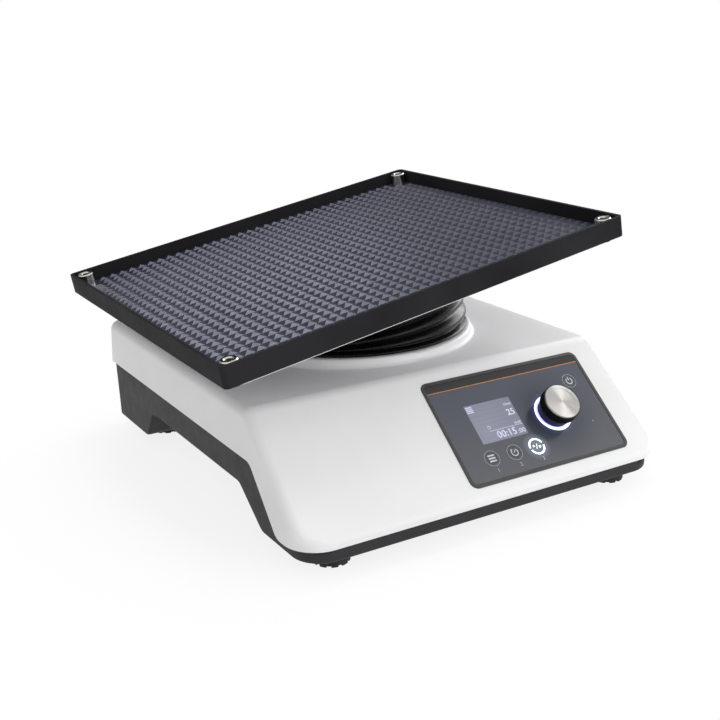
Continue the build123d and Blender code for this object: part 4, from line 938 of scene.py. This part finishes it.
class SHAKER_OT_figures(bpy.types.Operator):
    """Draws plain figures and marks on the display"""

    bl_idname = "shaker.figures"
    bl_label = "Figures on the display"

    def execute(self, context):
        top = local_box("display", panel_frame)[1].z
        place = panel_frame @ Matrix.Translation((0, 0, top))
        figures = bmesh.new()
        # Each figure ends at its spot; spots and sizes are in millimetres on the panel
        rows = [
            ("00:15", (-14.8, -11.9), 8.2),
            (":00", (-7.0, -11.9), 5.4),
            ("25", (-7.4, 4.4), 7.4),
            ("1/min", (-7.2, 12.8), 3.2),
            ("15:00", (-7.2, -4.0), 2.9),
        ]
        for row, spot, size in rows:
            words(figures, row, Vector(spot) * mm, size * mm, "RIGHT")
        divider = Vector((-22.0, -4.9)) * mm
        bar(figures, divider, 30.6 * mm, 0.35 * mm)
        clock = Vector((-36.4, -1.7)) * mm
        arc(figures, clock, 1.3 * mm, 0.3 * mm)
        bar(figures, clock + Vector((0.2, 0.5)) * mm, 0.3 * mm, 1.1 * mm)
        lowest_bar, bar_pitch = Vector((-44.8, 13.4)) * mm, 1.5 * mm
        for i in range(4):
            bar(figures, lowest_bar + Vector((0, i * bar_pitch)), 6.0 * mm, 0.85 * mm)
        # Liquid crystal left clear: the backlight shines through the figures
        clear = glowing("lcd_figures", "#bcbed2", "#c6c8dc", 0.75, "#8a8ca0")
        print_piece("display_figures", figures, clear, place)
        return {"FINISHED"}


class SHAKER_OT_rear(bpy.types.Operator):
    """Finishes the mains inlet and the switch on the rear wall"""

    bl_idname = "shaker.rear"
    bl_label = "Rear wall"

    def execute(self, context):
        polyamide = inlet_polyamide()
        finished_copy("power_inlet", polyamide, edge=0.2 * mm)
        finished_copy("fuse_drawer", polyamide, edge=0.2 * mm)
        finished_copy("rocker_switch", switch_pbt(), edge=0.3 * mm)
        # White ink: a bar for on and a ring for off, one on each half of the bent rocker
        white = ink("ink_white", "#dcdcda", "#e6e6e4")
        middle = Vector(joints["power_rocker"]["pos_m"])
        lean, half_lean = radians(10), radians(9.5)
        mark_out, mark_up = 2.92 * mm, 4.2 * mm
        turn = Matrix.Rotation(lean, 3, "X")
        for name, side in (("switch_bar", 1), ("switch_ring", -1)):
            spot = middle + turn @ Vector((0, mark_out, mark_up * side))
            outward = turn @ Vector((0, cos(half_lean), -side * sin(half_lean)))
            bm = bmesh.new()
            if side > 0:
                bar(bm, (0, 0), 0.6 * mm, 3.4 * mm)
            else:
                arc(bm, Vector((0, 0)), 1.6 * mm, 0.55 * mm)
            place = placed(spot, -x_axis, outward)
            print_piece(name, bm, white, place, "rocker")
        return {"FINISHED"}


class SHAKER_OT_mechanism(bpy.types.Operator):
    """Gives the hidden mechanism its finishes"""

    bl_idname = "shaker.mechanism"
    bl_label = "Mechanism"

    def execute(self, context):
        # Clear zinc on screws and nut: pale grey with a soft shine
        fixings = (
            "foot_screws shell_screws chassis_screws housing_screws counterweight_screws bracket_screws "
            "motor_screws hub_screws ring_screws post_screws board_screws supply_screws spindle_nut"
        )
        repaint(fixings, metal("zinc_plate_clear", "#c9c9c4", 0.3, 0.42, 0.5 * mm, 0.01 * mm))
        # Galvanised sheet: blotchy from the zinc's large crystals
        sheets = "chassis_plate motor_bracket power_supply encoder"
        repaint(sheets, metal("galvanised_sheet", "#b7babc", 0.34, 0.5, 6 * mm, 0.01 * mm))
        # Cast aluminium: matt and coarse from the mould
        repaint("bearing_housing", metal("aluminium_cast", "#a9aaac", 0.45, 0.6, 1.5 * mm, 0.05 * mm))
        # Machined aluminium: bright and finely marked
        machined = "drive_pulley motor_pulley platform_hub"
        repaint(machined, metal("aluminium_machined", "#c9cacc", 0.25, 0.36, 0.6 * mm, 0.008 * mm))
        # Turned steel: a little darker than the aluminium
        turned = "rotor_shaft motor_shaft journal_ring hub_rings bellows_clamp encoder_shaft"
        repaint(turned, metal("steel_turned", "#b9b9ba", 0.22, 0.34, 0.5 * mm, 0.008 * mm))
        # Ground steel: nearly a mirror
        ground = "main_bearings hub_bearings bellows_band inlet_pins"
        repaint(ground, metal("steel_ground", "#c6c6c8", 0.14, 0.22, 0.4 * mm, 0.004 * mm))
        # Black oxide on steel: dark with a dull sheen
        blued = metal("steel_black_oxide", "#2a2a2d", 0.35, 0.5, 0.6 * mm, 0.01 * mm)
        repaint("counterweight knob_screw", blued)
        # Turned brass: warm yellow
        brass = metal("brass_turned", "#c8a45a", 0.24, 0.36, 0.5 * mm, 0.008 * mm)
        repaint("board_spacers touch_sensors", brass)
        # Black enamel on the motor: smooth, half glossy
        repaint("motor", moulded("enamel_black", "#16161a", "#1d1d21", 0.4, 1.0 * mm, 0.01 * mm))
        # Polyurethane belt: matt black
        belt = moulded("polyurethane_belt", "#101011", "#18181a", 0.6, 0.6 * mm, 0.03 * mm)
        repaint("drive_belt", belt)
        # Glass-filled polyamide: black, dulled by its fibres
        filled = moulded("pa_black_glass_filled", "#151516", "#1c1c1d", 0.5, 0.5 * mm, 0.02 * mm, IOR=1.53)
        repaint("bellows_ring", filled)
        # Glass epoxy board: green under a smooth lacquer
        board = moulded("glass_epoxy_green", "#0f4a2a", "#145533", 0.35, 2.0 * mm, 0.01 * mm)
        repaint("control_board", board)
        # Natural acetal: milky white
        repaint("encoder_plunger", moulded("pom_natural", "#d9d9d4", "#e2e2dd", 0.4, 1.0 * mm, 0.01 * mm))
        # Fuse glass: pale and smooth
        repaint("fuses", moulded("glass_clear_tube", "#d9dedc", "#e2e6e4", 0.12, 2.0 * mm, 0.002 * mm))
        return {"FINISHED"}


# Camera: fitted to the photograph, which is square
photo_side = 720
focal_pixels = 1116.3
sensor_width = 36.0
pivot_behind_centre = 33.5 * mm
base_centre = Vector((pivot.x, pivot.y - pivot_behind_centre, 0))
eye_from_centre = Vector((-460.53, -755.82, 363.45)) * mm
view_azimuth, view_elevation, view_roll = radians(-31.06), radians(17.85), radians(-0.98)


class SHAKER_OT_stage(bpy.types.Operator):
    """Sets the camera, the floor, the lamps and the world"""

    bl_idname = "shaker.stage"
    bl_label = "Stage"

    def execute(self, context):
        place_camera(context)
        place_floor()
        place_lamps()
        light_world(context)
        context.scene.view_settings.view_transform = "Standard"
        return {"FINISHED"}


def place_camera(context):
    """Camera at the photograph's viewpoint."""
    lens = bpy.data.cameras.new("photo_view")
    lens.sensor_width = sensor_width
    lens.sensor_fit = "HORIZONTAL"
    lens.lens = focal_pixels / photo_side * sensor_width
    lens.clip_start = 0.01
    camera = add_object("photo_view", lens)
    level = cos(view_elevation)
    back = Vector((sin(view_azimuth) * level, -cos(view_azimuth) * level, sin(view_elevation)))
    right = (-back).cross(Vector((0, 0, 1))).normalized()
    up = right.cross(-back)
    rolled_right = right * cos(view_roll) + up * sin(view_roll)
    camera.matrix_world = placed(base_centre + eye_from_centre, rolled_right, back)
    context.scene.camera = camera


def seen_directly(tree):
    """One for camera, mirror and glass rays, none for rays that light the object."""
    path = add_node(tree, "ShaderNodeLightPath").outputs
    seen = path["Is Camera Ray"]
    for name in ("Is Glossy Ray", "Is Transmission Ray"):
        seen = add_node(tree, "ShaderNodeMath", {0: seen, 1: path[name]}, operation="MAXIMUM").outputs[0]
    return seen


def place_floor():
    """Pale matt floor that keeps a faint shadow near the object and is plain white further off."""
    floor_reach = 12.0
    shadow_reach, plain_from, plainness = 0.2, 0.32, 0.84
    material = bpy.data.materials.new("paper_white")
    tree = emptied_tree(material)
    matt = add_node(tree, "ShaderNodeBsdfDiffuse", {"Color": colour("#f4f4f4")}).outputs[0]
    white = add_node(tree, "ShaderNodeEmission", {"Color": grey(1.0), "Strength": 1.0}).outputs[0]
    points = add_node(tree, "ShaderNodeTexCoord").outputs["Object"]
    stops = [(shadow_reach, grey(plainness)), (plain_from, grey(1.0))]
    whiteness = shaded_from(tree, points, base_centre.xy, stops)
    sockets = {0: seen_directly(tree), 1: whiteness}
    share = add_node(tree, "ShaderNodeMath", sockets, operation="MULTIPLY").outputs[0]
    blend = add_node(tree, "ShaderNodeMixShader", {0: share, 1: matt, 2: white}).outputs[0]
    add_node(tree, "ShaderNodeOutputMaterial", {"Surface": blend})
    bm = bmesh.new()
    bmesh.ops.create_grid(bm, x_segments=1, y_segments=1, size=floor_reach)
    add_mesh("floor", bm, [material])


def place_lamps():
    """Soft lamps: two that reach under the raised tray, and one overhead for the mat's front facets."""
    aim_height = 0.1
    aim = base_centre + Vector((0, 0, aim_height))
    lamps = [
        ("right", (1.3, 0.4, 0.75), 1.0, 12.5),
        ("front_right", (0.8, -1.3, 0.6), 1.1, 6.4),
        ("overhead", (0.15, 0.4, 1.5), 0.6, 7.4),
    ]
    for name, spot, side, power in lamps:
        light = bpy.data.lights.new(name, "AREA")
        light.shape = "SQUARE"
        light.size = side
        light.energy = power
        lamp = add_object(name, light)
        lamp.location = base_centre + Vector(spot)
        lamp.rotation_euler = (aim - lamp.location).to_track_quat("-Z", "Y").to_euler()


def light_world(context):
    """White room: pure white where the camera sees it, otherwise with a dimmer wall behind the object."""
    lighting_share = 0.79
    wall_starts, wall_full, wall_brightness = 0.3, 0.75, 0.3
    world = bpy.data.worlds.new("white_room")
    context.scene.world = world
    tree = emptied_tree(world)
    direction = add_node(tree, "ShaderNodeTexCoord").outputs["Generated"]
    backwards = add_node(tree, "ShaderNodeSeparateXYZ", {"Vector": direction}).outputs["Y"]
    stops = [(wall_starts, grey(1.0)), (wall_full, grey(wall_brightness))]
    walls = add_node(tree, "ShaderNodeValToRGB", {"Fac": backwards}, stops).outputs["Color"]
    # Full strength in mirrors and glass, and the lighting share where it lights the object
    sockets = {"Value": seen_directly(tree), "To Min": lighting_share, "To Max": 1.0}
    strength = add_node(tree, "ShaderNodeMapRange", sockets).outputs["Result"]
    room = add_node(tree, "ShaderNodeBackground", {"Color": walls, "Strength": strength}).outputs[0]
    white = add_node(tree, "ShaderNodeBackground", {"Color": grey(1.0), "Strength": 1.0}).outputs[0]
    camera_ray = add_node(tree, "ShaderNodeLightPath").outputs["Is Camera Ray"]
    blend = add_node(tree, "ShaderNodeMixShader", {0: camera_ray, 1: room, 2: white}).outputs[0]
    add_node(tree, "ShaderNodeOutputWorld", {"Surface": blend})


class SHAKER_PT_sidebar(bpy.types.Panel):
    """Lists the shaker's pieces"""

    bl_idname = "SHAKER_PT_sidebar"
    bl_label = "Rocking shaker"
    bl_space_type = "VIEW_3D"
    bl_region_type = "UI"
    bl_category = "Shaker"

    def draw(self, context):
        layout = self.layout
        for group in (context.scene.shaker_sizes, context.scene.shaker_finishes):
            for name in group.__annotations__:
                layout.prop(group, name)
        for operator in operators:
            layout.operator(operator.bl_idname)


operators = (
    SHAKER_OT_stage,
    SHAKER_OT_housing,
    SHAKER_OT_tray,
    SHAKER_OT_posts,
    SHAKER_OT_mat,
    SHAKER_OT_bellows,
    SHAKER_OT_panel,
    SHAKER_OT_knob,
    SHAKER_OT_prints,
    SHAKER_OT_figures,
    SHAKER_OT_rear,
    SHAKER_OT_mechanism,
)
classes = (ShakerFinishes, ShakerSizes, *operators, SHAKER_PT_sidebar)


def register():
    for entry in classes:
        bpy.utils.register_class(entry)
    bpy.types.Scene.shaker_finishes = bpy.props.PointerProperty(type=ShakerFinishes)
    bpy.types.Scene.shaker_sizes = bpy.props.PointerProperty(type=ShakerSizes)


def unregister():
    del bpy.types.Scene.shaker_sizes
    del bpy.types.Scene.shaker_finishes
    for entry in reversed(classes):
        bpy.utils.unregister_class(entry)


def main():
    register()
    for operator in operators:
        family, action = operator.bl_idname.split(".")
        getattr(getattr(bpy.ops, family), action)()


if __name__ == "__main__":
    main()
